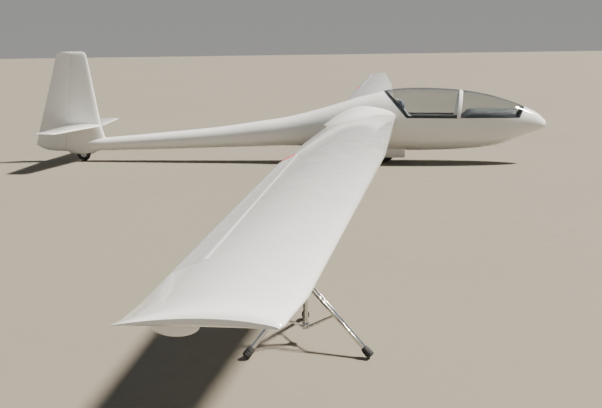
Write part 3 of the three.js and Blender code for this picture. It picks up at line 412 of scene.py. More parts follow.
# %% Canopy acrylic
def make_acrylic(name, tint, see_through):
    material = bpy.data.materials.new(name)
    material.use_nodes = True
    tree = material.node_tree
    shader = tree.nodes["Principled BSDF"]
    out = tree.nodes["Material Output"]
    where = node(tree, "ShaderNodeTexCoord").outputs["Object"]
    haze = remap(tree, noise(tree, where, 9.0, 6.0, 0.7), 0.4, 0.8, 0.0, 0.035)
    tree.links.new(haze, shader.inputs["Roughness"])
    shader.inputs["Base Color"].default_value = tint
    shader.inputs["Transmission Weight"].default_value = 1.0
    shader.inputs["IOR"].default_value = 1.45
    clear = node(tree, "ShaderNodeBsdfTransparent", Color=see_through)
    path = node(tree, "ShaderNodeLightPath")
    mixed = node(tree, "ShaderNodeMixShader", i0=path.outputs["Is Shadow Ray"], i1=shader.outputs[0],
                 i2=clear.outputs[0])
    tree.links.new(mixed.outputs[0], out.inputs["Surface"])
    return material


acrylic = make_acrylic("canopy_acrylic", rgb(0.72, 0.745, 0.75), rgb(0.66, 0.685, 0.69))
print("materials", len(bpy.data.materials), "node groups", len(bpy.data.node_groups))


# %% [markdown]
# ## The fuselage skin
# The real fuselage is one glass-fibre shell laid up in two half moulds. Its sections are fat ellipses that run
# from the nose to the tail. It could be modelled by extruding a circle station by station, but a shape this
# smooth shows every hand-made bump in its gloss. So a grid primitive is wrapped like a sheet of veneer round
# the sections, which come from one short table, and an edit-mode weld and fill close it.

# %% Sections of the fuselage: x, top z, bottom z, half width, fullness of the oval
FUSELAGE = np.array([
    (3.600, 0.552, 0.520, 0.014, 2),
    (3.588, 0.574, 0.490, 0.042, 2),
    (3.560, 0.600, 0.463, 0.070, 2),
    (3.505, 0.655, 0.437, 0.105, 2),
    (3.430, 0.703, 0.414, 0.137, 2.05),
    (3.322, 0.752, 0.378, 0.170, 2.1),
    (3.193, 0.808, 0.328, 0.202, 2.15),
    (3.033, 0.863, 0.264, 0.233, 2.2),
    (2.873, 0.912, 0.226, 0.255, 2.2),
    (2.713, 0.947, 0.205, 0.271, 2.2),
    (2.488, 0.983, 0.188, 0.288, 2.2),
    (2.230, 1.006, 0.174, 0.297, 2.2),
    (1.907, 1.017, 0.168, 0.300, 2.2),
    (1.663, 1.010, 0.172, 0.298, 2.2),
    (1.434, 0.980, 0.178, 0.292, 2.2),
    (1.258, 0.938, 0.184, 0.282, 2.15),
    (1.053, 0.886, 0.191, 0.266, 2.1),
    (0.895, 0.837, 0.198, 0.250, 2.1),
    (0.535, 0.733, 0.214, 0.212, 2.05),
    (0.105, 0.630, 0.226, 0.178, 2),
    (-0.330, 0.566, 0.212, 0.158, 2),
    (-0.770, 0.503, 0.199, 0.143, 2),
    (-1.214, 0.456, 0.188, 0.131, 2),
    (-1.640, 0.418, 0.174, 0.120, 2),
    (-2.108, 0.376, 0.163, 0.107, 2),
    (-2.568, 0.338, 0.151, 0.092, 2),
    (-2.750, 0.318, 0.144, 0.074, 2.4),
    (-2.950, 0.305, 0.139, 0.064, 2.8),
    (-3.300, 0.282, 0.134, 0.052, 2.8),
])


def smooth_row(rows, t):
    """A row between two table rows, on a curve through all of them."""
    i = min(int(t), len(rows) - 2)
    w = t - i
    a, b, c, d = rows[max(i - 1, 0)], rows[i], rows[i + 1], rows[min(i + 2, len(rows) - 1)]
    start, end = (c - a) / 2, (d - b) / 2
    return (2 * b - 2 * c + start + end) * w**3 + (-3 * b + 3 * c - 2 * start - end) * w**2 + start * w + b


body_rows = np.array([smooth_row(FUSELAGE, t) for t in np.linspace(0, len(FUSELAGE) - 1, 1400)])
RING_POINTS = 80


def body_at(x):
    """Top, bottom, half width and fullness at x."""
    return [np.interp(-x, -body_rows[:, 0], body_rows[:, column]) for column in (1, 2, 3, 4)]


def body_half(x, z, inset=0.0):
    """Half width of the fuselage at x and height z."""
    top, bottom, half, full = body_at(x)
    high = (top - bottom) / 2 - inset
    part = min(abs(z - (top + bottom) / 2) / high, 1.0)
    return (half - inset) * (1 - part**full) ** (1 / full)


def body_ring(row, shrink=1.0):
    """Points round one section of the fuselage."""
    x, top, bottom, half, full = row
    middle = (top + bottom) / 2
    high = (top - bottom) / 2 * shrink
    wide = half * shrink
    ring = []
    for i in range(RING_POINTS):
        a = 2 * math.pi * (i + 0.5) / RING_POINTS
        c, s = math.cos(a), math.sin(a)
        ring.append((x, math.copysign(wide * abs(c) ** (2 / full), c),
                     middle + math.copysign(high * abs(s) ** (2 / full), s)))
    return ring


def lay_grid(name, rows):
    """Lay a grid on rows of points, and leave it open for editing."""
    clear_pick()
    bpy.ops.mesh.primitive_grid_add(x_subdivisions=len(rows[0]) - 1, y_subdivisions=len(rows) - 1)
    sheet = bpy.context.object
    sheet.data.vertices.foreach_set("co", np.array(rows, float).ravel())
    sheet.name = name
    edit(sheet)
    return sheet


def lay_sheet(name, rows):
    """An open sheet on rows of points, with its faces all turned one way."""
    sheet = lay_grid(name, rows)
    bpy.ops.mesh.normals_make_consistent(inside=False)
    leave_edit()
    return sheet


def wrap(name, rings):
    """A grid laid over closed rings of equal length, with its seam welded and both ends filled."""
    sheet = lay_grid(name, [[*ring, ring[0]] for ring in rings])
    bpy.ops.mesh.remove_doubles(threshold=1e-6)
    bpy.ops.mesh.fill_holes(sides=0)
    bpy.ops.mesh.select_all(action="SELECT")
    bpy.ops.mesh.normals_make_consistent(inside=False)
    leave_edit()
    return sheet


# %% Wrap the fuselage, starting with three small rings that round off the nose
nose = FUSELAGE[0]
tip_rings = [(0.0, 0.25), (0.0008, 0.62), (0.0028, 0.9)]
rings = [body_ring((nose[0] - back, *nose[1:]), size) for back, size in tip_rings]
stations = [smooth_row(FUSELAGE, t) for t in np.linspace(0, len(FUSELAGE) - 1.1, 168)]
rings += [body_ring(row) for row in stations if row[0] < nose[0] - 0.006]
fuselage = wrap("fuselage", rings)
print("fuselage faces", len(fuselage.data.polygons))

# %% [markdown]
# ### Room for the rudder
# The rudder's round nose turns inside a hollow at the end of the boom. The hinge line leans forward at the top,
# so the hollow is part of a cone. A cutter is wrapped from two key-shaped outlines, and a Boolean modifier
# takes it away, as a round file would.

# %% Hinge lines
RUDDER = {"low_z": 0.150, "high_z": 1.560, "low_x": -3.168, "high_x": -2.992, "low_r": 0.061, "high_r": 0.031}
ELEVATOR = {"x": -2.985, "z": 0.512, "root_r": 0.0195, "tip_r": 0.012, "root_y": 0.066, "tip_y": 1.190}


def rudder_axis(z):
    t = (z - RUDDER["low_z"]) / (RUDDER["high_z"] - RUDDER["low_z"])
    return (RUDDER["low_x"] + t * (RUDDER["high_x"] - RUDDER["low_x"]),
            RUDDER["low_r"] + t * (RUDDER["high_r"] - RUDDER["low_r"]))


def key_outline(x, radius, reach, side):
    """A half circle round the hinge at x, and a wide box behind it."""
    arc = [(x + radius * math.cos(a), radius * math.sin(a)) for a in np.linspace(math.pi / 2, -math.pi / 2, 28)]
    return arc + [(x, -side), (x - reach, -side), (x - reach, side), (x, side)]


# The gap is wide enough to show as a dark line in the picture.
RUDDER_GAP = 0.011
key_rings = []
for z in (0.0, 0.7):
    x, radius = rudder_axis(z)
    key_rings.append([(px, py, z) for px, py in key_outline(x, radius + RUDDER_GAP, 0.5, 0.3)])
cutter = wrap("rudder_room", key_rings)
carve(fuselage, cutter)
print("boom ends at", round(min(v.co.x for v in fuselage.data.vertices), 3))

# %% [markdown]
# ### Canopy and windscreen cut from the same skin
# On the real aircraft the canopy is blown in one mould with the fuselage line, so it has the same surface.
# Bisecting the skin along the sill and the slanted edges keeps that surface. The strips between two cuts are
# the panel gaps. Then the panes and the white arch are separated, and each gets its own wall thickness.

# %% Canopy lines in side view, each by two points of x and z
LINES = {
    "sill": ((1.747, 0.629), (3.230, 0.620)),
    "rear": ((1.747, 0.629), (1.436, 0.982)),
    "arch_back": ((2.407, 0.629), (2.449, 0.982)),
    "arch_front": ((2.456, 0.629), (2.498, 0.982)),
    "nose": ((3.230, 0.620), (3.300, 0.755)),
}
PANEL_GAP = 0.004
BORDER = 0.028
SCREEN_BORDER = 0.012


def x_on(line, z):
    (x0, z0), (x1, z1) = LINES[line]
    return x0 + (x1 - x0) * (z - z0) / (z1 - z0)


def sill_z(x):
    (x0, z0), (x1, z1) = LINES["sill"]
    return z0 + (z1 - z0) * (x - x0) / (x1 - x0)


def saw(piece, wanted, place, normal):
    """One straight cut through the wanted faces."""
    edit(piece)
    choose(piece, wanted)
    bpy.ops.mesh.bisect(plane_co=place, plane_no=normal)
    leave_edit()


def slice_along(piece, line, dx=0.0, dz=0.0):
    (x0, z0), (x1, z1) = LINES[line]
    saw(piece, lambda c, n: 1.3 < c.x < 3.45 and c.z > 0.58, (x0 + dx, 0, z0 + dz), (z1 - z0, 0, x0 - x1))


def drop(piece, wanted):
    edit(piece)
    count = choose(piece, wanted)
    bpy.ops.mesh.delete(type="FACE")
    leave_edit()
    return count


def split_off(piece, name, wanted):
    edit(piece)
    choose(piece, wanted)
    bpy.ops.mesh.separate(type="SELECTED")
    leave_edit()
    part = next(o for o in bpy.context.selected_objects if o is not piece)
    part.name = name
    return part


REAR_GAP = 1.25 * PANEL_GAP
HAIR = 0.0004
for line, dx, dz in (("sill", 0, 0), ("sill", 0, PANEL_GAP), ("rear", 0, 0), ("rear", REAR_GAP, 0),
                     ("arch_back", -HAIR, 0), ("arch_back", HAIR, 0), ("arch_front", -PANEL_GAP, 0),
                     ("arch_front", 0, 0), ("nose", 0, 0), ("nose", -HAIR, 0),
                     ("sill", 0, PANEL_GAP + BORDER), ("rear", REAR_GAP + 1.25 * BORDER, 0),
                     ("sill", 0, SCREEN_BORDER), ("nose", -1.1 * SCREEN_BORDER, 0)):
    slice_along(fuselage, line, dx, dz)


def zone(c):
    """Which part of the skin a face centre belongs to."""
    if c.z < sill_z(c.x) or c.x < x_on("rear", c.z) or c.x > x_on("nose", c.z) or c.x < 1.2:
        return "pod"
    if c.x < x_on("arch_front", c.z) - PANEL_GAP:
        if c.z < sill_z(c.x) + PANEL_GAP or c.x < x_on("rear", c.z) + REAR_GAP:
            return "gap"
        if abs(c.x - x_on("arch_back", c.z)) < HAIR:
            return "gap"
        return "rear" if c.x < x_on("arch_back", c.z) else "arch"
    if c.x < x_on("arch_front", c.z) or c.x > x_on("nose", c.z) - HAIR:
        return "gap"
    return "front"


print("gap faces", drop(fuselage, lambda c, n: zone(c) == "gap"))
rear_pane = split_off(fuselage, "rear_pane", lambda c, n: zone(c) == "rear")
arch = split_off(fuselage, "arch", lambda c, n: zone(c) == "arch")
front_pane = split_off(fuselage, "front_pane", lambda c, n: zone(c) == "front")

# %% Dark borders under the panes
rear_border = twin(rear_pane, "rear_border")
drop(rear_border, lambda c, n: c.z > sill_z(c.x) + PANEL_GAP + BORDER
     and c.x > x_on("rear", c.z) + REAR_GAP + 1.25 * BORDER)
front_border = twin(front_pane, "front_border")
drop(front_border, lambda c, n: c.z > sill_z(c.x) + SCREEN_BORDER
     and c.x < x_on("nose", c.z) - 1.1 * SCREEN_BORDER)
GLASS_WALL = 0.004
SEALANT = 0.0015


def sink(piece, depth):
    """Move a skin inwards along its normals."""
    modify(piece, "DISPLACE", strength=-depth, mid_level=0.0, direction="NORMAL")


for border, wall in ((rear_border, 0.011), (front_border, 0.007)):
    sink(border, GLASS_WALL + SEALANT)
    modify(border, "SOLIDIFY", thickness=wall, offset=-1)
    round_edges(border, 0.0012)
for pane in (rear_pane, front_pane):
    sink(pane, 0.0004)
    modify(pane, "SOLIDIFY", thickness=GLASS_WALL, offset=-1)
    soften(pane, 40)
modify(arch, "SOLIDIFY", thickness=0.014, offset=-1)
round_edges(arch, 0.0015)
for part in (rear_border, front_border, arch):
    soften(part, 40)
dress(rear_pane, "canopy_pane", "canopy", acrylic, ["canopy_glass"])
dress(front_pane, "windscreen_pane", "airframe", acrylic, ["windscreen"])
dress(rear_border, "canopy_border", "canopy", dark_trim, ["canopy_frame"])
dress(front_border, "windscreen_border", "airframe", dark_trim, ["windscreen_frame"])
dress(arch, "canopy_front_arch", "canopy", gelcoat, ["canopy_arch"])

# %% [markdown]
# ### Wheel openings and the wall
# The main wheel sits half out of a rectangular opening in the belly, and the tail wheel in a narrow slot.
# Both are straight saw cuts, so four bisects outline each one and its faces are deleted.
# A Solidify modifier then gives the skin its laminate thickness on the inside.

# %% Cut the openings and thicken the skin
WELL = {"back": 1.165, "front": 1.745, "half": 0.116}
TAIL_SLOT = {"back": -3.002, "front": -2.778, "half": 0.033}
SKIN_WALL, LINING_WALL = 0.009, 0.0006


def saw_out(piece, hole, below):
    """Outline an opening with four cuts, and take its faces away."""
    inside = lambda c, n: hole["back"] < c.x < hole["front"] and abs(c.y) < hole["half"] and c.z < below
    near = lambda c, n: hole["back"] - 0.2 < c.x < hole["front"] + 0.2 and c.z < below
    for x in (hole["back"], hole["front"]):
        saw(piece, near, (x, 0, 0), (1, 0, 0))
    for y in (hole["half"], -hole["half"]):
        saw(piece, near, (0, y, 0), (0, 1, 0))
    return drop(piece, inside)


print("belly opening", saw_out(fuselage, WELL, 0.35), "tail slot", saw_out(fuselage, TAIL_SLOT, 0.2))
lining = twin(fuselage, "lining")
drop(lining, lambda c, n: not 1.155 < c.x < 3.36)
modify(fuselage, "SOLIDIFY", thickness=SKIN_WALL, offset=-1)
soften(fuselage, 40)
sink(lining, SKIN_WALL + LINING_WALL / 2)
modify(lining, "SOLIDIFY", thickness=LINING_WALL, offset=-1)
dress(soften(lining, 40), "cockpit_lining", "airframe", lining_paint)
dress(fuselage, "fuselage_shell", "airframe", gelcoat, ["fuselage_pod", "tail_boom"])
print("fuselage shell faces", len(fuselage.data.polygons))

# %% Tail wheel fairing
bpy.ops.mesh.primitive_uv_sphere_add(segments=64, ring_count=40, radius=1, location=(-2.905, 0, 0.196))
fairing = bpy.context.object
fairing.scale = (0.262, 0.058, 0.111)
settle(fairing)
drop(fairing, lambda c, n: c.z > 0.24)
saw_out(fairing, TAIL_SLOT, 0.2)
drop(fairing, lambda c, n: c.x < rudder_axis(c.z)[0] + 0.03)
modify(fairing, "SOLIDIFY", thickness=0.005, offset=-1)
soften(fairing, 40)
dress(fairing, "tail_wheel_fairing", "airframe", gelcoat)


# %% [markdown]
# ## The wings
# A wing of this kind has a thick laminar section at the root and a thin one at the tip. It tapers gently to the
# aileron and more strongly beyond it. The section is a formula, so each rib is worked out and the skin is
# wrapped over the ribs. Where the aileron sits, the ribs end in a straight wall at the hinge line.

# %% Wing stations: y, leading edge x, leading edge z, chord, incidence in degrees, thickness ratio
WING = np.array([
    (0.170, 1.618, 0.645, 1.010, 6.8, 0.37),
    (0.230, 1.612, 0.644, 0.985, 6.9, 0.315),
    (0.285, 1.606, 0.645, 0.952, 7, 0.255),
    (0.335, 1.602, 0.647, 0.922, 7.1, 0.212),
    (0.380, 1.599, 0.649, 0.904, 7.1, 0.192),
    (0.420, 1.597, 0.650, 0.901, 7.1, 0.19),
    (5.270, 1.530, 0.824, 0.735, 5, 0.18),
    (8.640, 1.383, 0.930, 0.430, 4.5, 0.165),
    (8.790, 1.364, 0.935, 0.402, 3.2, 0.14),
    (8.850, 1.355, 0.934, 0.394, 1.8, 0.1),
    (8.870, 1.344, 0.931, 0.384, 0.8, 0.04),
])
CAMBER, CAMBER_AT, THICKEST = 0.034, 0.45, 0.4
AILERON = {"inner": 5.270, "outer": 8.330, "hinge_inner": 0.914, "hinge_outer": 1.034, "bevel": 30}
RIB_STEPS = 30


def half_thickness(c):
    lead, d0, d1 = 0.296904, 0.002, 0.315
    rest = 1 - THICKEST
    d2 = (0.294 - 2 * rest * d1) / rest**2
    d3 = (-0.196 + rest * d1) / rest**3
    rho = 0.2 * rest**2 / (0.588 - 2 * d1 * rest)
    a1 = 0.3 / THICKEST - 1.875 * lead / math.sqrt(THICKEST) - THICKEST / (10 * rho)
    a2 = -0.3 / THICKEST**2 + 1.25 * lead / THICKEST**1.5 + 1 / (5 * rho)
    a3 = 0.1 / THICKEST**3 - 0.375 * lead / THICKEST**2.5 - 1 / (10 * rho * THICKEST)
    r = 1 - c
    front = lead * np.sqrt(c) + a1 * c + a2 * c**2 + a3 * c**3
    back = d0 + d1 * r + d2 * r**2 + d3 * r**3
    return np.where(c < THICKEST, front, back) / 0.2


def mean_line(c, camber):
    front = camber / CAMBER_AT**2 * (2 * CAMBER_AT * c - c**2)
    back = camber / (1 - CAMBER_AT) ** 2 * (1 - 2 * CAMBER_AT + 2 * CAMBER_AT * c - c**2)
    return np.where(c < CAMBER_AT, front, back)


chord_steps = 1 - np.sin(np.pi / 2 * np.arange(RIB_STEPS + 1) / RIB_STEPS) ** 1.15


def rib(row):
    """Upper and lower edge of a rib, each from the trailing edge to the nose, as columns x and z."""
    y, x, z, chord, incidence, ratio = row
    a = math.radians(incidence)
    edges = []
    for side in (1, -1):
        h = mean_line(chord_steps, CAMBER) + side * ratio * half_thickness(chord_steps)
        edges.append(np.stack([x - chord * (chord_steps * math.cos(a) + h * math.sin(a)),
                               z + chord * (h * math.cos(a) - chord_steps * math.sin(a))], axis=1))
    return edges


def wing_row(y):
    return np.array([y] + [np.interp(y, WING[:, 0], WING[:, column]) for column in range(1, 6)])


def rib_ring(row):
    upper, lower = rib(row)
    outline = np.concatenate([upper, lower[::-1][1:]])
    return [(x, row[0], z) for x, z in outline]


def hinge_x(y):
    return np.interp(y, [AILERON["inner"], AILERON["outer"]], [AILERON["hinge_inner"], AILERON["hinge_outer"]])


def height_at(edge, x):
    return float(np.interp(x, edge[:, 0], edge[:, 1]))


def cut_rib_ring(row, ahead):
    """A rib that ends in a wall just ahead of the hinge line. Points behind it are spread over the wall."""
    upper, lower = rib(row)
    wall = hinge_x(row[0]) + ahead
    top, bottom = height_at(upper, wall), height_at(lower, wall)
    middle = (top + bottom) / 2
    behind_up, behind_low = int((upper[:, 0] < wall).sum()), int((lower[:, 0] < wall).sum())
    upper[:behind_up] = [(wall, z) for z in np.linspace(middle + 0.0005, top, behind_up)]
    lower[:behind_low] = [(wall, z) for z in np.linspace(middle - 0.0005, bottom, behind_low)]
    outline = np.concatenate([upper, lower[::-1][1:]])
    return [(x, row[0], z) for x, z in outline]


# %% Lay the left wing's skin
ROOT_Y = 0.420
HINGE_GAP = 0.0025
inboard = [rib_ring(wing_row(y)) for y in (ROOT_Y + 0.0004, 0.9, 1.5, 2.0, 2.5, 3.0, 3.6, 4.2, 4.8, 5.2696)]
behind = [cut_rib_ring(wing_row(y), HINGE_GAP) for y in (5.2704, 5.9, 6.6, 7.3, 8.0, 8.3296)]
outboard = [rib_ring(wing_row(y)) for y in (8.3304, 8.5)]
outboard += [rib_ring(smooth_row(WING[-4:], t)) for t in np.linspace(0, 3, 14)]
wing = wrap("wing_skin", inboard + behind + outboard)

# %% [markdown]
# ### Airbrake slot
# The brake lies in the upper skin, under a cap that carries the skin's own curve. Its slot is outlined with
# bisects, the faces inside are copied as the cap, and the originals are extruded down into the wing.

# %% Slot and cap
BRAKE = {"inner": 2.650, "outer": 4.050, "at": 0.46, "half": 0.015, "gap": 0.002, "deep": 0.11}


def brake_line(y):
    row = wing_row(y)
    return row[1] - row[3] * BRAKE["at"] * math.cos(math.radians(row[4]))


def outline_brake(piece, grow):
    """Cut the brake's outline into the upper skin, and return a test for the faces inside it."""
    y0, y1 = BRAKE["inner"] - grow, BRAKE["outer"] + grow
    x0, x1 = brake_line(y0), brake_line(y1)
    half = BRAKE["half"] + grow
    cuts = [((x0 + s * half, y0, 0), (y1 - y0, x0 - x1, 0)) for s in (-1, 1)]
    cuts += [((0, y0, 0), (0, 1, 0)), ((0, y1, 0), (0, 1, 0))]
    for place, normal in cuts:
        saw(piece, lambda c, n: 2.3 < c.y < 4.4 and n.z > 0.3 and abs(c.x - brake_line(c.y)) < 0.12, place, normal)
    return lambda c, n: n.z > 0.3 and y0 < c.y < y1 and abs(c.x - brake_line(c.y)) < half


in_slot = outline_brake(wing, BRAKE["gap"])
cap = twin(wing, "cap")
drop(cap, lambda c, n: not in_slot(c, n))
in_cap = outline_brake(cap, 0.0)
drop(cap, lambda c, n: not in_cap(c, n))
edit(wing)
print("slot faces", choose(wing, in_slot))
bpy.ops.mesh.extrude_region_move(TRANSFORM_OT_translate={"value": (0, 0, -BRAKE["deep"])})
leave_edit()
soften(wing, 32)
modify(cap, "SOLIDIFY", thickness=0.005, offset=-1)

# %% Brake blade with its lightening holes
BLADE = {"height": 0.084, "half": 0.0035, "below_skin": 0.004, "end_gap": 0.006}


def skin_top(y):
    """Height of the wing's upper skin over the brake."""
    return height_at(rib(wing_row(y))[0], brake_line(y))


bpy.ops.mesh.primitive_cube_add(size=1, location=(0, 0, 0))
blade = bpy.context.object
corners = []
for vertex in blade.data.vertices:
    y = BRAKE["outer"] - BLADE["end_gap"] if vertex.co.y > 0 else BRAKE["inner"] + BLADE["end_gap"]
    top = skin_top(y) - BLADE["below_skin"]
    z = top if vertex.co.z > 0 else top - BLADE["height"]
    corners.append((brake_line(y) + math.copysign(BLADE["half"], vertex.co.x), y, z))
blade.data.vertices.foreach_set("co", np.array(corners).ravel())
blade.data.update()
holes = []
bpy.ops.mesh.primitive_cylinder_add(vertices=24, radius=0.021, depth=0.1, rotation=(0, math.pi / 2, 0))
drill = settle(bpy.context.object)
for y in np.arange(BRAKE["inner"] + 0.06, BRAKE["outer"] - 0.05, 0.072):
    hole = twin(drill, "hole")
    hole.location = (brake_line(y), y, skin_top(y) - 0.045)
    holes.append(settle(hole))
carve(blade, join(holes, "drills"))
bpy.data.objects.remove(drill)
round_edges(blade, 0.0006, 40, 1)
brake = soften(join([cap, blade], "brake"), 32)
print("brake faces", len(brake.data.polygons))

# %% [markdown]
# ### Ailerons
# An aileron is the rear of the wing section, cut off at the hinge, with a front face that slopes back at the
# bottom so that it can swing down. On the real aircraft it is a separate moulding. Its darker, bluer gelcoat here is
# a painted sky reflection and painted shade.

# %% Aileron
def aileron_ring(y):
    """The rear of the rib at y, as up the top, down the front face and back along the bottom."""
    upper, lower = rib(wing_row(y))
    front = hinge_x(y)
    top = height_at(upper, front)
    bottom = height_at(lower, front)
    low_x = front - math.tan(math.radians(AILERON["bevel"])) * (top - bottom)
    steps = np.linspace(0, 1, 14)
    up = [(x, height_at(upper, x)) for x in upper[0, 0] + (front - 0.0008 - upper[0, 0]) * steps]
    face = [(front - 0.0001, top - 0.0009), (front - 0.004, top - 0.006),
            (low_x + 0.002, height_at(lower, low_x) + 0.002)]
    down = [(x, height_at(lower, x)) for x in low_x + (lower[0, 0] - low_x) * steps]
    return [(x, y, z) for x, z in up + face + down]


aileron_ys = np.linspace(AILERON["inner"] + 0.003, AILERON["outer"] - 0.003, 9)
aileron = soften(wrap("aileron", [aileron_ring(y) for y in aileron_ys]), 32)

# %% [markdown]
# ### Tip skid
# A hard rubbing block under the tip takes the knocks when the wing is put down. It is a sphere, stretched to a
# lens, whose upper half is bisected away and sunk into the skin.

# %% Tip skid, and both wings dressed
bpy.ops.mesh.primitive_uv_sphere_add(segments=32, ring_count=20, radius=1, location=(1.090, 8.800, 0.905))
skid = bpy.context.object
skid.scale = (0.060, 0.013, 0.0275)
settle(skid)
edit(skid)
bpy.ops.mesh.bisect(plane_co=(0, 0, 0.922), plane_no=(0, 0, 1), clear_outer=True, use_fill=True)
leave_edit()
soften(skid, 40)

dress_both(wing, "wing_skin_SIDE", "airframe", gelcoat, ["wing_SIDE"])
dress_both(skid, "tip_skid_SIDE", "airframe", gelcoat)
# The ailerons' darker, bluer gelcoat is a painted sky reflection and painted shade.
dress_both(aileron, "aileron_skin_SIDE", "aileron_SIDE", aileron_gelcoat_painted_sky_reflection, ["aileron_SIDE"])
dress_both(brake, "airbrake_blade_SIDE", "airbrake_SIDE", gelcoat, ["airbrake_SIDE"])

# %% [markdown]
# ### Wing root fairing
# The root swells into the fuselage in a fillet about ten centimetres wide. Its ribs grow thicker towards the
# fuselage. A rib point that would lie inside the cabin is pulled out to the skin, so nothing shows inside.

# %% Root fairing
def root_ring(row):
    """A rib's outline, with no point deeper in the fuselage than its skin is thick."""
    return [(x, max(y, body_half(x, z) - 0.006), z) for x, y, z in rib_ring(row)]


root_rows = [smooth_row(WING[:6], t) for t in np.linspace(0, 5, 22)]
root_rows[-1][0] = ROOT_Y - 0.0004
root = soften(wrap("root", [root_ring(row) for row in root_rows]), 40)
dress_both(root, "root_fairing_SIDE", "airframe", gelcoat)

# %% [markdown]
# ## The tail
# Fin and rudder share one section, and so do stabiliser and elevator. The moving part has a round nose and the
# fixed part a matching hollow. Both outlines come from one function, which finds where the nose circle meets
# the section's side. The table's first rows stand close together, because the rudder's low corner is rounded.

# %% Fin and rudder outlines: z, leading edge x, trailing edge x, thickness ratio
FIN = np.array([
    (0.146, -2.480, -3.340, 0.118),
    (0.157, -2.482, -3.430, 0.118),
    (0.182, -2.488, -3.508, 0.118),
    (0.235, -2.500, -3.600, 0.118),
    (0.400, -2.585, -3.552, 0.125),
    (1.440, -2.744, -3.222, 0.125),
    (1.520, -2.764, -3.196, 0.1),
    (1.548, -2.786, -3.188, 0.06),
    (1.560, -2.815, -3.186, 0.025),
])


def hinged_outline(lead, trail, ratio, axis, radius, part, steps=20, arc=13):
    """Outline of the part ahead of the hinge (front) or behind it (back), as x and half thickness."""
    chord = lead - trail
    xs = lead - chord * np.linspace(0, 1, 600) ** 1.3
    hs = chord * ratio * half_thickness((lead - xs) / chord)
    meets = [(x, h) for x, h in zip(xs, hs) if x > axis and (x - axis) ** 2 + h**2 <= radius**2]
    x_meet, h_meet = meets[0] if meets else (axis, np.interp(-axis, -xs, hs))
    angle = math.atan2(h_meet, x_meet - axis)
    bow = [(axis + radius * math.cos(a), radius * math.sin(a)) for a in np.linspace(angle, -angle, arc)][1:-1]
    spread = np.linspace(0, 1, steps)
    if part == "front":
        side_x = x_meet + (lead - x_meet) * (1 - (1 - spread) ** 1.8)
        side = [(x, float(np.interp(-x, -xs, hs))) for x in side_x]
        return side + [(x, -h) for x, h in side[::-1][1:]] + bow[::-1]
    side_x = trail + (x_meet - trail) * spread
    side = [(x, float(np.interp(-x, -xs, hs))) for x in side_x]
    return side + bow + [(x, -h) for x, h in side[::-1]]


def fin_row(z):
    return [np.interp(z, FIN[:, 0], FIN[:, column]) for column in (1, 2, 3)]


top_z = FIN[-1, 0]
fin_zs = [0.25, 0.33, 0.5, 0.7, 0.9, 1.1, 1.3, 1.44, 1.49, 1.52, 1.537, 1.548, 1.555, top_z]
rudder_zs = [0.1465, 0.151, 0.157, 0.169, 0.182, 0.20, 0.22, 0.235, 0.3, 0.4, *fin_zs[2:]]


def fin_rings(zs, part, gap):
    rings = []
    for z in zs:
        axis, radius = rudder_axis(z)
        rings.append([(x, h, z) for x, h in hinged_outline(*fin_row(z), axis, radius + gap, part)])
    return rings


fin = soften(wrap("fin", fin_rings(fin_zs, "front", RUDDER_GAP)), 38)
rudder = soften(wrap("rudder", fin_rings(rudder_zs, "back", 0.0)), 38)
dress(fin, "fin_skin", "airframe", gelcoat, ["fin"])
dress(rudder, "rudder_skin", "rudder", gelcoat, ["rudder"])

# %% Stabiliser and elevator outlines: y, leading edge x, trailing edge x, thickness ratio
TAILPLANE = np.array([
    (0.000, -2.575, -3.106, 0.115),
    (1.060, -2.742, -3.070, 0.115),
    (1.150, -2.762, -3.064, 0.1),
    (1.190, -2.800, -3.058, 0.05),
])
ELEVATOR_GAP = 0.0025


def tail_rings(ys, part, gap):
    rings = []
    for y in ys:
        lead, trail, ratio = [np.interp(y, TAILPLANE[:, 0], TAILPLANE[:, column]) for column in (1, 2, 3)]
        radius = np.interp(y, [0, ELEVATOR["tip_y"]], [ELEVATOR["root_r"], ELEVATOR["tip_r"]]) + gap
        outline = hinged_outline(lead, trail, ratio, ELEVATOR["x"], radius, part, 18, 11)
        rings.append([(x, y, ELEVATOR["z"] + h) for x, h in outline])
    return rings


tip_ys = [1.06, 1.10, 1.13, 1.15, 1.168, 1.18, 1.187, 1.19]
stabiliser = soften(wrap("stabiliser", tail_rings([0.045, 0.3, 0.6, 0.85, *tip_ys], "front", ELEVATOR_GAP)), 38)
elevator = soften(wrap("elevator", tail_rings([ELEVATOR["root_y"], 0.3, 0.6, 0.85, *tip_ys], "back", 0.0)), 38)
dress_both(stabiliser, "stabiliser_skin_SIDE", "airframe", gelcoat, ["stabiliser_SIDE"])
dress_both(elevator, "elevator_skin_SIDE", "elevator", gelcoat, ["elevator_SIDE"])


# %% [markdown]
# ## Wheels
# A tyre, a rim and a hub are all turned shapes, so each one is a half profile that the Spin tool carries once
# round the axle. The profile is a list of radius and sideways position. Grooves, beads and flanges are just
# more points in the list.

# %% Turning and small bars
def spun(name, profile, x, z, steps=72):
    """Spin a profile of radius and y once round a line across the aircraft, at x and z."""
    clear_pick()
    bpy.ops.mesh.primitive_circle_add(vertices=len(profile), fill_type="NOTHING")
    piece = bpy.context.object
    piece.name = name
    piece.data.vertices.foreach_set("co", np.array([(x, y, z + r) for r, y in profile], float).ravel())
    edit(piece)
    bpy.ops.mesh.select_mode(type="VERT")
    bpy.ops.mesh.select_all(action="SELECT")
    bpy.ops.mesh.spin(steps=steps, angle=2 * math.pi, center=(x, 0, z), axis=(0, 1, 0))
    bpy.ops.mesh.select_all(action="SELECT")
    bpy.ops.mesh.remove_doubles(threshold=1e-5)
    bpy.ops.mesh.delete_loose()
    bpy.ops.mesh.select_all(action="SELECT")
    bpy.ops.mesh.normals_make_consistent(inside=False)
    leave_edit()
    return piece


def turned(name, profile, steps, place, way, second="X"):
    """Spin a profile of radius and height, and stand it at a place, along a direction."""
    piece = spun(name, profile, 0.0, 0.0, steps)
    turn = Vector(way).to_track_quat("Y", second).to_matrix().to_4x4()
    piece.matrix_world = Matrix.Translation(place) @ turn
    return settle(piece)


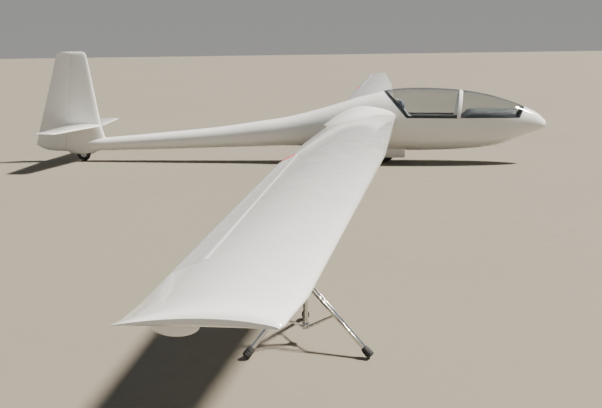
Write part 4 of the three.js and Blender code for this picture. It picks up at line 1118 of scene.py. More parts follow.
def both_sides(half):
    """A profile's half with y above zero, followed by its mirror image."""
    return half + [(r, -y) for r, y in reversed(half)]


def rod(start, end, radius, end_radius=None, sides=28, bevel=0.0):
    """A round bar between two points, with its rims rounded off when bevel is given."""
    start, end = Vector(start), Vector(end)
    clear_pick()
    bpy.ops.mesh.primitive_cone_add(vertices=sides, radius1=radius, radius2=end_radius or radius,
                                    depth=(end - start).length, location=(start + end) / 2)
    bar = bpy.context.object
    bar.rotation_euler = (end - start).to_track_quat("Z", "Y").to_euler()
    settle(bar)
    if bevel:
        round_edges(bar, bevel)
    return bar


def block(low, high, bevel=0.001, segments=2):
    """A box between two corners, with all its edges rounded off."""
    low, high = Vector(low), Vector(high)
    clear_pick()
    bpy.ops.mesh.primitive_cube_add(size=1, location=(low + high) / 2)
    made = bpy.context.object
    made.scale = high - low
    settle(made)
    return round_edges(made, bevel, 40, segments)


def cut_out(outline, thickness, origin, across, upward, bevel=0.0008):
    """A plate cut to a flat outline of (across, upward) points, and extruded by its thickness."""
    origin, across, upward = Vector(origin), Vector(across).normalized(), Vector(upward).normalized()
    normal = across.cross(upward)
    clear_pick()
    bpy.ops.mesh.primitive_circle_add(vertices=len(outline), fill_type="NGON")
    made = bpy.context.object
    places = [origin + across * u + upward * v for u, v in outline]
    made.data.vertices.foreach_set("co", np.array(places, float).ravel())
    edit(made)
    bpy.ops.mesh.extrude_region_move(TRANSFORM_OT_translate={"value": tuple(normal * thickness)})
    bpy.ops.mesh.select_all(action="SELECT")
    bpy.ops.mesh.normals_make_consistent(inside=False)
    leave_edit()
    if bevel:
        round_edges(made, bevel, 40)
    return made


def rounded_box(wide, high, radius, steps=6, centre=(0, 0)):
    """Outline of a rectangle with rounded corners."""
    points = []
    for cx, cy, start in ((1, 1, 0), (-1, 1, 90), (-1, -1, 180), (1, -1, 270)):
        for i in range(steps + 1):
            a = math.radians(start + 90 * i / steps)
            points.append((centre[0] + cx * (wide / 2 - radius) + radius * math.cos(a),
                           centre[1] + cy * (high / 2 - radius) + radius * math.sin(a)))
    return points


def bent_tube(name, points, radius, resolution=6):
    """A tube along a smooth curve through points, turned into a mesh."""
    clear_pick()
    bpy.ops.curve.primitive_nurbs_path_add()
    line = bpy.context.object
    line.name = name
    line.data.splines.clear()
    spline = line.data.splines.new("NURBS")
    spline.points.add(len(points) - 1)
    for knot, place in zip(spline.points, points):
        knot.co = (*place, 1.0)
    spline.order_u = 3
    spline.use_endpoint_u = True
    line.data.bevel_depth = radius
    line.data.bevel_resolution = resolution
    line.data.use_fill_caps = True
    line.data.resolution_u = 5
    pick(line)
    bpy.ops.object.convert(target="MESH")
    return soften(bpy.context.object, 50)


# %% Main wheel
WHEEL_X, WHEEL_Z = 1.440, 0.175
main_half = [(0.0828, 0.0), (0.0828, 0.030), (0.0880, 0.0385), (0.0940, 0.0425), (0.1010, 0.0480),
             (0.1090, 0.0540), (0.1120, 0.0572), (0.1150, 0.0570), (0.1180, 0.0572), (0.1300, 0.0597),
             (0.1430, 0.0598), (0.1540, 0.0570), (0.1630, 0.0515), (0.1690, 0.0440), (0.1716, 0.0380),
             (0.1722, 0.0352), (0.1694, 0.0346), (0.1694, 0.0312), (0.1732, 0.0306), (0.1745, 0.0200),
             (0.1745, 0.0182), (0.1712, 0.0176), (0.1712, 0.0142), (0.1748, 0.0136), (0.1750, 0.0028),
             (0.1718, 0.0020)]
main_tyre = spun("main_tyre", both_sides(main_half[1:]), WHEEL_X, WHEEL_Z, 96)
dress(soften(main_tyre, 30), "main_tyre_treaded", "main_wheel", black_rubber, ["main_tyre"])

rim_half = [(0.0130, 0.0500), (0.0240, 0.0518), (0.0290, 0.0500), (0.0310, 0.0300), (0.0350, 0.0170),
            (0.0420, 0.0130), (0.0640, 0.0130), (0.0690, 0.0170), (0.0735, 0.0340), (0.0780, 0.0378),
            (0.0815, 0.0368), (0.0818, 0.0330), (0.0790, 0.0290), (0.0790, 0.0100)]
main_rim = spun("rim", both_sides(rim_half), WHEEL_X, WHEEL_Z, 72)
details = [main_rim]
for i in range(6):
    a = 2 * math.pi * i / 6
    place = Vector((WHEEL_X + 0.053 * math.cos(a), 0, WHEEL_Z + 0.053 * math.sin(a)))
    for side in (-1, 1):
        bolt = rod(place + Vector((0, side * 0.0128, 0)), place + Vector((0, side * 0.0192, 0)), 0.0065, sides=6,
                   bevel=0.0006)
        details.append(bolt)
valve = rod((WHEEL_X + 0.060, 0.020, WHEEL_Z + 0.037), (WHEEL_X + 0.052, 0.041, WHEEL_Z + 0.033), 0.0038, 0.003,
            bevel=0.0006)
main_rim = soften(join(details + [valve], "main_rim"), 32)
dress(main_rim, "main_rim_split", "main_wheel", alloy, ["main_rim"])

# %% Tail wheel
TAIL_X, TAIL_Z = -2.890, 0.100
tail_half = [(0.0470, 0.0135), (0.0520, 0.0175), (0.0600, 0.0215), (0.0700, 0.0242), (0.0800, 0.0247),
             (0.0880, 0.0232), (0.0940, 0.0190), (0.0966, 0.0145), (0.0972, 0.0120), (0.0956, 0.0112),
             (0.0956, 0.0088), (0.0982, 0.0080), (0.1000, 0.0022)]
tail_tyre = spun("tail_tyre", both_sides(tail_half), TAIL_X, TAIL_Z, 72)
dress(soften(tail_tyre, 30), "tail_tyre_ribbed", "tail_wheel", black_rubber, ["tail_tyre"])
tail_rim_half = [(0.0076, 0.0250), (0.0150, 0.0258), (0.0190, 0.0240), (0.0210, 0.0140), (0.0260, 0.0110),
                 (0.0380, 0.0110), (0.0420, 0.0125), (0.0456, 0.0128)]
tail_rim = spun("tail_rim", both_sides(tail_rim_half), TAIL_X, TAIL_Z, 48)
dress(soften(tail_rim, 32), "tail_rim_turned", "tail_wheel", alloy, ["tail_rim"])

# %% [markdown]
# ## Main gear
# The fixed parts of the gear are steel tubes: two legs, two drag struts and two cross tubes, with bosses where
# they meet. Cylinder primitives are aimed from end to end, the bosses' rims are bevelled, and all are joined.
# A spring wraps each strut, and washers and nuts close the axle.

# %% Gear frame, axle and doors
LEG = {"y": 0.084, "top": (1.290, 0.500), "strut": (1.660, 0.470)}
SPRING = {"radius": 0.0135, "wire": 0.0022}
frame_parts = []
for side in (-1, 1):
    y = side * LEG["y"]
    leg_top, strut_top = (LEG["top"][0], y, LEG["top"][1]), (LEG["strut"][0], y, LEG["strut"][1])
    frame_parts += [
        rod((WHEEL_X - 0.005, y, WHEEL_Z + 0.012), leg_top, 0.0128, sides=32),
        rod((WHEEL_X + 0.010, y, WHEEL_Z + 0.020), strut_top, 0.0088, sides=28),
        rod((WHEEL_X, y - 0.0135, WHEEL_Z), (WHEEL_X, y + 0.0135, WHEEL_Z), 0.0235, sides=40, bevel=0.0015),
        rod((LEG["top"][0], y - 0.020, LEG["top"][1]), (LEG["top"][0], y + 0.020, LEG["top"][1]), 0.021, sides=36,
            bevel=0.0015),
        rod((LEG["strut"][0], y - 0.016, LEG["strut"][1]), (LEG["strut"][0], y + 0.016, LEG["strut"][1]), 0.0145,
            sides=32, bevel=0.0012),
    ]
    coil = []
    low, high = Vector((WHEEL_X + 0.060, y, WHEEL_Z + 0.090)), Vector((WHEEL_X + 0.165, y, WHEEL_Z + 0.229))
    out, lift = Vector((0, 1, 0)), (high - low).normalized().cross(Vector((0, 1, 0)))
    for i in range(90):
        a = 2 * math.pi * i / 10
        around = out * SPRING["radius"] * math.cos(a) + lift * SPRING["radius"] * math.sin(a)
        coil.append(tuple(low.lerp(high, i / 89) + around))
    frame_parts.append(bent_tube("spring", coil, SPRING["wire"], 3))
for x, z, r in ((*LEG["top"], 0.0165), (*LEG["strut"], 0.0112)):
    frame_parts.append(rod((x, -0.1155, z), (x, 0.1155, z), r, sides=32))
gear_frame = soften(join(frame_parts, "gear_frame"), 35)
dress(gear_frame, "gear_tube_frame", "airframe", grey_paint, ["gear_frame"])

axle_parts = [rod((WHEEL_X, -0.104, WHEEL_Z), (WHEEL_X, 0.104, WHEEL_Z), 0.0118, sides=40, bevel=0.0006)]
for side in (-1, 1):
    axle_parts.append(rod((WHEEL_X, side * 0.0978, WHEEL_Z), (WHEEL_X, side * 0.0988, WHEEL_Z), 0.020, sides=40))
    axle_parts.append(rod((WHEEL_X, side * 0.0988, WHEEL_Z), (WHEEL_X, side * 0.1032, WHEEL_Z), 0.0165, sides=6,
                          bevel=0.0008))
axle = soften(join(axle_parts, "axle"), 32)
dress(axle, "main_axle_with_nuts", "airframe", steel, ["main_axle"])
tail_axle_parts = [rod((TAIL_X, -0.0515, TAIL_Z), (TAIL_X, 0.0515, TAIL_Z), 0.0068, sides=28, bevel=0.0005)]
for side in (-1, 1):
    tail_axle_parts.append(rod((TAIL_X, side * 0.0462, TAIL_Z), (TAIL_X, side * 0.0512, TAIL_Z), 0.0098, sides=6,
                               bevel=0.0006))
dress(soften(join(tail_axle_parts, "tail_axle"), 32), "tail_axle_with_nuts", "airframe", steel,
      ["tail_axle"])

DOOR = {"back": 1.175, "front": 1.737, "bottom": 0.077, "top": 0.215, "y": 0.1157, "thick": 0.0048}
door_outline = []
for u, v, radius, start in ((DOOR["front"], DOOR["bottom"], 0.020, -90), (DOOR["front"], DOOR["top"], 0.004, 0),
                            (DOOR["back"], DOOR["top"], 0.004, 90), (DOOR["back"], DOOR["bottom"], 0.036, 180)):
    cu = u - radius if u == DOOR["front"] else u + radius
    cv = v + radius if v == DOOR["bottom"] else v - radius
    for i in range(7):
        a = math.radians(start + 15 * i)
        door_outline.append((cu + radius * math.cos(a), cv + radius * math.sin(a)))
door = cut_out(door_outline, DOOR["thick"], (0, DOOR["y"], 0), (1, 0, 0), (0, 0, 1), 0.0012)
stiffener = cut_out(rounded_box(0.43, 0.016, 0.006, 4, (1.456, 0.142)), 0.003, (0, DOOR["y"] - DOOR["thick"], 0),
                    (1, 0, 0), (0, 0, 1))
knuckles = [rod((x - 0.016, DOOR["y"] - 0.0075, 0.2075), (x + 0.016, DOOR["y"] - 0.0075, 0.2075), 0.0036,
                sides=20, bevel=0.0005) for x in (1.235, 1.350, 1.560, 1.680)]
door = soften(join([door, stiffener, *knuckles], "door"), 35)
dress_both(door, "gear_door_panel_SIDE", "airframe", gelcoat, ["gear_door_SIDE"])
print("wheel and gear pieces", len(finished))


# %% [markdown]
# The wheel well keeps the CAD shape, which is a plain box in the real aircraft too, and only gets its finish.
# So does the tube that turns both elevators. Pressed ribs on the well's roof stop it from drumming.

# %% Wheel well and elevator tube
def carry_over(name, material):
    """Give a CAD node that stays its finish."""
    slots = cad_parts[name].material_slots
    if not slots:
        raise RuntimeError(name + " has no material slot")
    for one in slots:
        one.material = material


carry_over("wheel_well", inner_paint)
carry_over("elevator_torque_tube", alloy)
ribs = [block((x - 0.006, -0.100, 0.540), (x + 0.006, 0.100, 0.5505), 0.003) for x in (1.28, 1.40, 1.52, 1.64)]
dress(soften(join(ribs, "ribs"), 40), "wheel_well_ribs", "airframe", inner_paint)


# %% [markdown]
# ## Cockpit
# The pilot lies back in a moulded pan. It is one grid: across the cabin in one direction and down the seat's
# side line in the other. The edges curl up against the cabin wall.

# %% Seat pan
SEAT_LINE = np.array([(1.615, 0.865), (1.760, 0.655), (1.855, 0.490), (1.960, 0.335), (2.060, 0.270),
                      (2.250, 0.256), (2.400, 0.308), (2.520, 0.326)])


def seat_at(t):
    return smooth_row(SEAT_LINE, t)


def seat_normal(t):
    step = seat_at(min(t + 0.02, len(SEAT_LINE) - 1)) - seat_at(max(t - 0.02, 0))
    step /= np.linalg.norm(step)
    return np.array([-step[1], step[0]]) if step[0] > 0 else np.array([step[1], -step[0]])


def cabin_half(x, z):
    return body_half(x, z, 0.0105)


pan_rows, pan_columns = 44, 28
rows = []
for r in range(pan_rows + 1):
    t = 7 * r / pan_rows
    x, z = seat_at(t)
    nx, nz = seat_normal(t)
    narrow = min(max((z - 0.56) / 0.06, 0.0), 1.0)
    half = min(cabin_half(x, z) - 0.004, 0.300) * (1 - narrow) + 0.178 * narrow
    row = []
    for c in range(pan_columns + 1):
        u = 2 * c / pan_columns - 1
        lip = 0.055 * max(abs(u) - 0.66, 0) ** 1.6 / 0.34**1.6
        px, pz = x + nx * lip * (1 - 0.75 * narrow), z + nz * lip * (1 - 0.75 * narrow)
        row.append((px, u * min(half, cabin_half(px, pz) - 0.002), pz))
    rows.append(row)
pan = lay_sheet("pan", rows)


def looks_up(sheet):
    """True where the face in the middle of a sheet looks up."""
    faces = sheet.data.polygons
    return faces[len(faces) // 2].normal.z > 0


modify(pan, "SOLIDIFY", thickness=0.006, offset=-1 if looks_up(pan) else 1)
dress(soften(pan, 40), "seat_pan_moulded", "airframe", inner_paint, ["seat_pan"])

# %% [markdown]
# ### Stuffed pieces
# The seat cushion and the headrest are foam in a sewn cover. Each starts as a closed block on the seat line,
# is remeshed to small even cells, and is swollen by the Cloth modifier's pressure. How far a point may move is
# held, so that the pad stays in its room. The sewn channels are pressed in afterwards.

# %% Stuffing
PRESSURE = 4.0


def stuffed(piece, swell, voxel):
    """Swell a block as foam fills a cover. No point moves further than swell."""
    modify(piece, "REMESH", mode="VOXEL", voxel_size=voxel)
    start = np.array([v.co[:] for v in piece.data.vertices])
    pick(piece)
    cloth = piece.modifiers.new("Cloth", "CLOTH")
    cloth.settings.use_pressure = True
    cloth.settings.uniform_pressure_force = PRESSURE
    cloth.settings.effector_weights.gravity = 0
    for moment in range(1, 21):
        bpy.context.scene.frame_set(moment)
    bpy.ops.object.modifier_apply(modifier=cloth.name)
    bpy.context.scene.frame_set(1)
    end = np.array([v.co[:] for v in piece.data.vertices])
    moved = end - start
    length = np.linalg.norm(moved, axis=1, keepdims=True)
    end = start + moved * np.minimum(1.0, swell / np.maximum(length, 1e-9))
    piece.data.vertices.foreach_set("co", end.ravel())
    piece.data.update()
    return piece


def press(piece, depth_at):
    """Move every point along its normal by depth_at(point), as a thumb presses foam."""
    normals = np.array([v.normal[:] for v in piece.data.vertices])
    places = np.array([v.co[:] for v in piece.data.vertices])
    depth = np.array([depth_at(Vector(p), Vector(n)) for p, n in zip(places, normals)])
    piece.data.vertices.foreach_set("co", (places - normals * depth[:, None]).ravel())
    piece.data.update()


def pad_on_seat(t_from, t_to, half, low, high, rows, shape):
    """A closed pad that follows the seat line. shape(u, v) thins it towards its edges."""
    rings = []
    for v in np.linspace(0, 1, rows):
        t = t_from + (t_to - t_from) * v
        x, z = seat_at(t)
        nx, nz = seat_normal(t)
        us = np.linspace(-1, 1, 15)
        top = [(u, low + (high - low) * shape(u, v)) for u in us]
        bottom = [(u, low) for u in us[::-1]]
        rings.append([(x + nx * d, u * half * (0.97 + 0.03 * math.sin(math.pi * v)), z + nz * d)
                      for u, d in top + bottom])
    return wrap("pad", rings)


def crown(u, v):
    side = (1 - abs(u) ** 5) ** 0.5
    end = (1 - abs(2 * v - 1) ** 8) ** 0.5
    return max(0.15, side * end)


cushion = pad_on_seat(1.05, 4.9, 0.142, 0.003, 0.024, 40, crown)
stuffed(cushion, 0.006, 0.006)
seam_ts = [1.75, 2.45, 3.1, 3.75, 4.3]
seam_points = [seat_at(t) for t in seam_ts]
seam_ways = [(seat_normal(t)[1], -seat_normal(t)[0]) for t in seam_ts]


def cushion_seams(p, n):
    if n.x * 0.5 + n.z < 0.1:
        return 0.0
    across = min(abs((p.x - at[0]) * way[0] + (p.z - at[1]) * way[1]) for at, way in zip(seam_points, seam_ways))
    edge = abs(abs(p.y) - 0.092)
    return 0.0065 * math.exp(-(across / 0.0055) ** 2) * (abs(p.y) < 0.092) + 0.005 * math.exp(-(edge / 0.005) ** 2)


press(cushion, cushion_seams)
modify(cushion, "SUBSURF", levels=1)
dress(soften(cushion, 60), "seat_cushion_sewn", "airframe", seat_cloth, ["seat_cushion"])

rest = pad_on_seat(0.16, 0.66, 0.088, 0.006, 0.052, 14,
                   lambda u, v: max(0.3, (1 - abs(u) ** 4) ** 0.5 * (1 - abs(2 * v - 1) ** 4) ** 0.5))
stuffed(rest, 0.008, 0.005)
modify(rest, "SUBSURF", levels=1)
dress(soften(rest, 60), "headrest_stuffed", "airframe", seat_cloth, ["headrest"])
print("cushion", len(cushion.data.vertices), "headrest", len(rest.data.vertices))

# %% [markdown]
# ### Harness
# Four flat straps meet in a buckle over the lap. Webbing doesn't stretch or swell, so each strap is a ribbon
# laid along points just above the cushion, thickened to 2 mm.

# %% Straps and buckle
def strap(name, points, wide):
    """A flat ribbon through points, each given with the direction in which the strap is wide."""
    rings = []
    rows = np.array([(*p, *w) for p, w in points], float)
    for t in np.linspace(0, len(rows) - 1, 10 * (len(rows) - 1) + 1):
        row = smooth_row(rows, t)
        middle, side = Vector(row[:3]), Vector(row[3:]).normalized()
        ahead = Vector(smooth_row(rows, min(t + 0.05, len(rows) - 1))[:3]) - Vector(
            smooth_row(rows, max(t - 0.05, 0))[:3])
        face = side.cross(ahead).normalized()
        ring = []
        for u, v in ((-1, -0.3), (-0.96, -1), (-0.5, -1), (0, -1), (0.5, -1), (0.96, -1), (1, -0.3), (1, 0.3),
                     (0.96, 1), (0.5, 1), (0, 1), (-0.5, 1), (-0.96, 1), (-1, 0.3)):
            ring.append(tuple(middle + side * u * wide / 2 + face * v * 0.0009))
        rings.append(ring)
    return wrap(name, rings)


SHOULDER = [(0.78, 0.060, 0.012), (1.15, 0.066, 0.036), (1.7, 0.070, 0.037), (2.4, 0.062, 0.038),
            (3.0, 0.040, 0.040), (3.35, 0.018, 0.045)]
LAP = [(1.985, 0.225, 0.372), (2.000, 0.165, 0.360), (2.020, 0.120, 0.352), (2.036, 0.070, 0.350),
       (2.046, 0.028, 0.350)]


def on_cushion(t, y, lift):
    """A point at t on the seat line, at y across it and lift above it."""
    x, z = seat_at(t)
    nx, nz = seat_normal(t)
    return (x + nx * lift, y, z + nz * lift)


harness = []
for side in (-1, 1):
    shoulder = [(on_cushion(t, side * y, lift), (0, 1, 0)) for t, y, lift in SHOULDER]
    lap = [((x, side * y, z), (0.75, 0, 0.35)) for x, y, z in LAP]
    harness += [strap("shoulder_strap", shoulder, 0.042), strap("lap_strap", lap, 0.042)]
harness = soften(join(harness, "harness"), 50)
dress(harness, "harness_straps", "airframe", webbing)

buckle_place = Vector((2.035, 0, 0.352))
tilt = Matrix.Rotation(math.radians(28), 4, "Y")
buckle_parts = [
    rod(buckle_place + tilt @ Vector((0, 0, -0.004)), buckle_place + tilt @ Vector((0, 0, 0.010)), 0.027, 0.024,
        sides=40, bevel=0.0018),
    rod(buckle_place + tilt @ Vector((0, 0, 0.010)), buckle_place + tilt @ Vector((0, 0, 0.0165)), 0.015, 0.0135,
        sides=32, bevel=0.0015),
]
for angle in (35, 145, 215, 325):
    a = math.radians(angle)
    tongue = block((-0.011, 0.020, -0.001), (0.011, 0.052, 0.002), 0.0008)
    tongue.matrix_world = Matrix.Translation(buckle_place) @ tilt @ Matrix.Rotation(a - math.pi / 2, 4, "Z")
    buckle_parts.append(settle(tongue))
dress(soften(join(buckle_parts, "buckle"), 35), "harness_buckle", "airframe", steel)

# %% [markdown]
# ### Coaming and instrument panel
# The coaming is the dark hood over the instruments. It is a thin shell like an upturned tray: flat on top,
# rounded at the shoulders, with its rear lip raked back over the panel. A soft bead finishes the lip.

# %% Coaming
COAMING_TOP = [(2.484, 0.6215), (2.510, 0.658), (2.547, 0.697), (2.600, 0.727), (2.640, 0.7315), (3.150, 0.7315),
               (3.190, 0.722)]
COAMING_FOOT, COAMING_STEPS, SHOULDER_POWER = 0.6005, 40, 0.42


def coaming_ring(x, inset, drop_by=0.0):
    """Points over the hood at x, from its left foot over the top to its right one."""
    top = np.interp(x, [p[0] for p in COAMING_TOP], [p[1] for p in COAMING_TOP]) - drop_by
    ring = []
    for i in range(COAMING_STEPS + 1):
        a = math.pi * i / COAMING_STEPS
        c, s = math.cos(a), math.sin(a)
        z = COAMING_FOOT + (top - COAMING_FOOT) * abs(s) ** SHOULDER_POWER
        y = math.copysign(body_half(x, z, inset) * abs(c) ** SHOULDER_POWER if abs(c) > 1e-6 else 0.0, c)
        ring.append((x, y, z))
    return ring


hood_xs = np.concatenate([np.linspace(2.486, 2.640, 14), np.linspace(2.68, 3.188, 22)])
coaming = lay_sheet("hood", [coaming_ring(x, 0.037) for x in hood_xs])
modify(coaming, "SOLIDIFY", thickness=0.004, offset=-1 if looks_up(coaming) else 1)
front_wall = cut_out([(p[1], p[2]) for p in coaming_ring(3.186, 0.0385)], 0.003, (3.186, 0, 0), (0, 1, 0), (0, 0, 1))
shelf_edges = []
for side in (-1, 1):
    edge_xs = np.linspace(2.486, 3.186, 26)
    outer = [(x, side * body_half(x, 0.598, 0.0095)) for x in edge_xs]
    inner = [(x, side * body_half(x, 0.598, 0.040)) for x in edge_xs]
    outline = outer + inner[::-1]
    ledge = cut_out(outline if side < 0 else outline[::-1], 0.0035, (0, 0, 0.5965), (1, 0, 0), (0, 1, 0))
    shelf_edges.append(ledge)
lip = bent_tube("lip", coaming_ring(2.488, 0.039, 0.0015), 0.0052)
coaming = soften(join([coaming, front_wall, *shelf_edges, lip], "coaming"), 40)
dress(coaming, "coaming_hood", "airframe", hood_skin, ["coaming"])

# %% Panel and pedestal
PANEL_X = 2.626
panel_outline = [(y, z) for x, y, z in coaming_ring(2.628, 0.0445, 0.0055)] + [
    (-0.225, 0.545), (-0.165, 0.478), (-0.120, 0.452), (-0.070, 0.445), (0.070, 0.445), (0.120, 0.452),
    (0.165, 0.478), (0.225, 0.545)]
panel = cut_out(panel_outline, 0.0045, (PANEL_X + 0.0002, 0, 0), (0, 1, 0), (0, 0, 1), 0.001)
pedestal = block((PANEL_X + 0.006, -0.063, body_at(2.65)[1] + 0.016), (PANEL_X + 0.058, 0.063, 0.470), 0.006, 3)
panel = soften(join([panel, pedestal], "panel"), 35)
dress(panel, "instrument_panel_board", "airframe", panel_paint, ["instrument_panel"])

# %% [markdown]
# ### Instruments
# Round dials look alike: a bezel, a dark face, a ring of marks and a white hand. Each one is modelled flat,
# turned to face back towards the pilot and scaled, with its hand at its own angle.

# %% Dials
dial_face = finish_of("dial_black_face", ageing, {
    "Colour": rgb(0.012, 0.012, 0.013), "Stain": rgb(0.03, 0.03, 0.03), "Patch Scale": 30.0, "Stain Amount": 0.4,
    "Smooth": 0.35, "Rough": 0.55, "Grain Scale": 900.0}, 0.1, 0.0002)
mark_paint = finish_of("dial_white_marks", ageing, {
    "Colour": rgb(0.75, 0.75, 0.72), "Stain": rgb(0.6, 0.58, 0.5), "Patch Scale": 40.0, "Stain Amount": 0.4,
    "Smooth": 0.4, "Rough": 0.6, "Grain Scale": 900.0}, 0.1, 0.0002)


def facing_back(piece, centre, scale=1.0):
    """Turn a piece that was made flat, looking up +Z, to look back along -X, and place it on the panel."""
    turn = Matrix(((0, 0, -1), (-1, 0, 0), (0, 1, 0))).to_4x4()
    piece.matrix_world = Matrix.Translation(centre) @ turn @ Matrix.Scale(scale, 4)
    return settle(piece)


def ring_shape(outer, inner, low, high):
    """A bezel: a short cylinder with a sunk face inside its rim."""
    clear_pick()
    bpy.ops.mesh.primitive_cylinder_add(vertices=48, radius=outer, depth=high - low,
                                        location=(0, 0, (low + high) / 2))
    made = settle(bpy.context.object)
    edit(made)
    choose(made, lambda c, n: n.z > 0.9)
    bpy.ops.mesh.inset(thickness=outer - inner)
    bpy.ops.mesh.extrude_region_move(TRANSFORM_OT_translate={"value": (0, 0, -0.6 * (high - low))})
    leave_edit()
    return round_edges(made, 0.0012)


bezels, marks = [], []
DIALS = [(-0.085, 0.640, 1.00, 205), (0.085, 0.640, 1.00, 310), (0.0, 0.672, 0.72, 270), (-0.058, 0.556, 0.72, 150),
         (0.058, 0.556, 0.72, 25), (0.0, 0.596, 0.55, 90)]
for y, z, scale, hand_angle in DIALS:
    centre = Vector((PANEL_X, y, z))
    bezels.append(facing_back(ring_shape(0.0400, 0.0345, -0.0005, 0.0075), centre, scale))
    for i in range(24):
        a = math.radians(15 * i)
        long = 0.0062 if i % 3 == 0 else 0.0034
        mark = block((-0.0006, 0.0325 - long, 0.0030), (0.0006, 0.0325, 0.0034), 0.0001, 1)
        mark.matrix_world = Matrix.Rotation(a, 4, "Z")
        marks.append(facing_back(settle(mark), centre, scale))
    hand = cut_out([(-0.0018, -0.008), (0.0018, -0.008), (0.0012, 0.022), (0, 0.029), (-0.0012, 0.022)], 0.0006,
                   (0, 0, 0.0042), (1, 0, 0), (0, 1, 0), 0.0)
    hand.matrix_world = Matrix.Rotation(math.radians(hand_angle), 4, "Z")
    marks.append(facing_back(settle(hand), centre, scale))
    boss = rod((0, 0, 0.0040), (0, 0, 0.0052), 0.0034, sides=20, bevel=0.0003)
    bezels.append(facing_back(boss, centre, scale))
    for sy in (-1, 1):
        for sz in (-1, 1):
            screw = rod((0.0335 * sy, 0.0335 * sz, -0.0004), (0.0335 * sy, 0.0335 * sz, 0.0016), 0.0026, sides=16,
                        bevel=0.0004)
            bezels.append(facing_back(screw, centre, scale))
radio = cut_out(rounded_box(0.070, 0.034, 0.004, 4), 0.006, (PANEL_X - 0.006, 0, 0.505), (0, 1, 0), (0, 0, 1), 0.001)
knobs = [rod((PANEL_X - 0.018, y, 0.500), (PANEL_X - 0.006, y, 0.500), 0.0065, 0.0075, sides=24, bevel=0.0008)
         for y in (-0.025, 0.025)]
switches = []
for y in (-0.150, -0.130, 0.130, 0.150):
    switches.append(rod((PANEL_X - 0.002, y, 0.560), (PANEL_X, y, 0.560), 0.0065, sides=6, bevel=0.0004))
    switches.append(rod((PANEL_X - 0.014, y, 0.566), (PANEL_X - 0.001, y, 0.560), 0.0022, 0.0030, sides=16,
                        bevel=0.0005))
dress(soften(join(bezels + [radio] + knobs, "bezels"), 35), "instrument_bezels", "airframe", dial_face)
dress(join(marks, "marks"), "instrument_marks_and_hands", "airframe", mark_paint)
dress(soften(join(switches, "switches"), 35), "panel_switches", "airframe", alloy)

# %% [markdown]
# ### Stick, levers and knobs
# The stick stands in a leather bellows, which is a spun profile with folds. The airbrake lever is a long blue
# tube along the left wall, and a yellow knob under the panel lets go of the tow rope.

# %% Stick with bellows
FOOT, TOP = Vector((2.374, 0, 0.297)), Vector((2.330, 0, 0.500))
stick_parts = [rod(FOOT, TOP, 0.0088, 0.0078, bevel=0.0005)]
folds = []
for i in range(13):
    h = 0.0055 * i
    folds.append(((0.046 if i % 2 == 0 else 0.036) * (1 - 0.055 * i) + 0.002, h))
profile = [(0.0, 0.0)] + folds + [(0.0095, folds[-1][1] + 0.004), (0.0, folds[-1][1] + 0.004)]
bellows = turned("bellows", profile, 40, FOOT, TOP - FOOT)
END = Vector((2.316, 0, 0.590))
grip_profile = [(0.0, 0.0), (0.0115, 0.0), (0.0135, 0.003), (0.0140, 0.010), (0.0128, 0.013), (0.0142, 0.020),
                (0.0130, 0.028), (0.0144, 0.036), (0.0132, 0.044), (0.0146, 0.053), (0.0136, 0.062),
                (0.0148, 0.071), (0.0146, 0.080), (0.0118, 0.087), (0.0060, 0.0903), (0.0, 0.0908)]
grip = turned("grip", grip_profile, 36, TOP, END - TOP)
button = rod(END + Vector((-0.008, 0, -0.014)), END + Vector((-0.0165, 0, -0.010)), 0.0045, sides=20, bevel=0.0006)
stick = soften(join([*stick_parts, bellows, grip, button], "stick"), 45)
dress(stick, "control_stick_with_bellows", "airframe", black_rubber, ["control_stick"])

LEVER_Y, LEVER_Z = 0.238, 0.470
lever_parts = [rod((2.160, LEVER_Y, LEVER_Z), (2.400, LEVER_Y, LEVER_Z), 0.0058, bevel=0.0008)]
grip_line = [(0.0, 0.0), (0.0090, 0.0), (0.0122, 0.004), (0.0128, 0.016), (0.0112, 0.030), (0.0126, 0.044),
             (0.0112, 0.058), (0.0128, 0.074), (0.0120, 0.086), (0.0080, 0.0895), (0.0, 0.090)]
lever_parts.append(turned("handle", grip_line, 32, (2.250, LEVER_Y - 0.002, LEVER_Z), (1, 0, 0)))
for x in (2.190, 2.370):
    reach = cabin_half(x, LEVER_Z)
    lever_parts.append(block((x - 0.0075, LEVER_Y, LEVER_Z - 0.0048), (x + 0.0075, reach, LEVER_Z + 0.0048), 0.0015))
    lever_parts.append(rod((x - 0.009, LEVER_Y, LEVER_Z), (x + 0.009, LEVER_Y, LEVER_Z), 0.0105, bevel=0.001))
dress(soften(join(lever_parts, "lever"), 35), "airbrake_lever_tube", "airframe", blue_paint,
      ["airbrake_lever"])

pull_profile = [(0.0, 0.0), (0.0045, 0.0), (0.0045, 0.010), (0.0100, 0.014), (0.0128, 0.020), (0.0128, 0.026),
                (0.0095, 0.031), (0.0, 0.0325)]
pull = turned("pull", pull_profile, 28, (PANEL_X, 0.158, 0.500), (-1, 0, 0))
dress(soften(pull, 40), "tow_release_knob", "airframe", yellow_paint)

# %% Shelf behind the seat
right_edge = [(x, -(body_half(x, 0.602, 0.0105) - 0.001)) for x in np.linspace(1.156, 1.698, 18)]
left_edge = [(x, -y) for x, y in right_edge[::-1]]
shelf = cut_out(right_edge + left_edge, 0.0038, (0, 0, 0.6001), (1, 0, 0), (0, 1, 0))
carve(shelf, block((1.700, -0.185, 0.58), (1.90, 0.185, 0.64), 0.001))
dress(soften(shelf, 35), "luggage_shelf", "airframe", carpet, ["seat_shelf"])
print("cockpit pieces", len(finished))


# %% [markdown]
# ## Wing stand
# The stand under the right wing is a folding tripod like a drum stand: a chromed column, three legs of paired
# strips that end in a channel, flat braces to a lower collar, and black rubber feet. Every flat bar has its
# ends rounded and its rivets set, because chrome shows each edge.

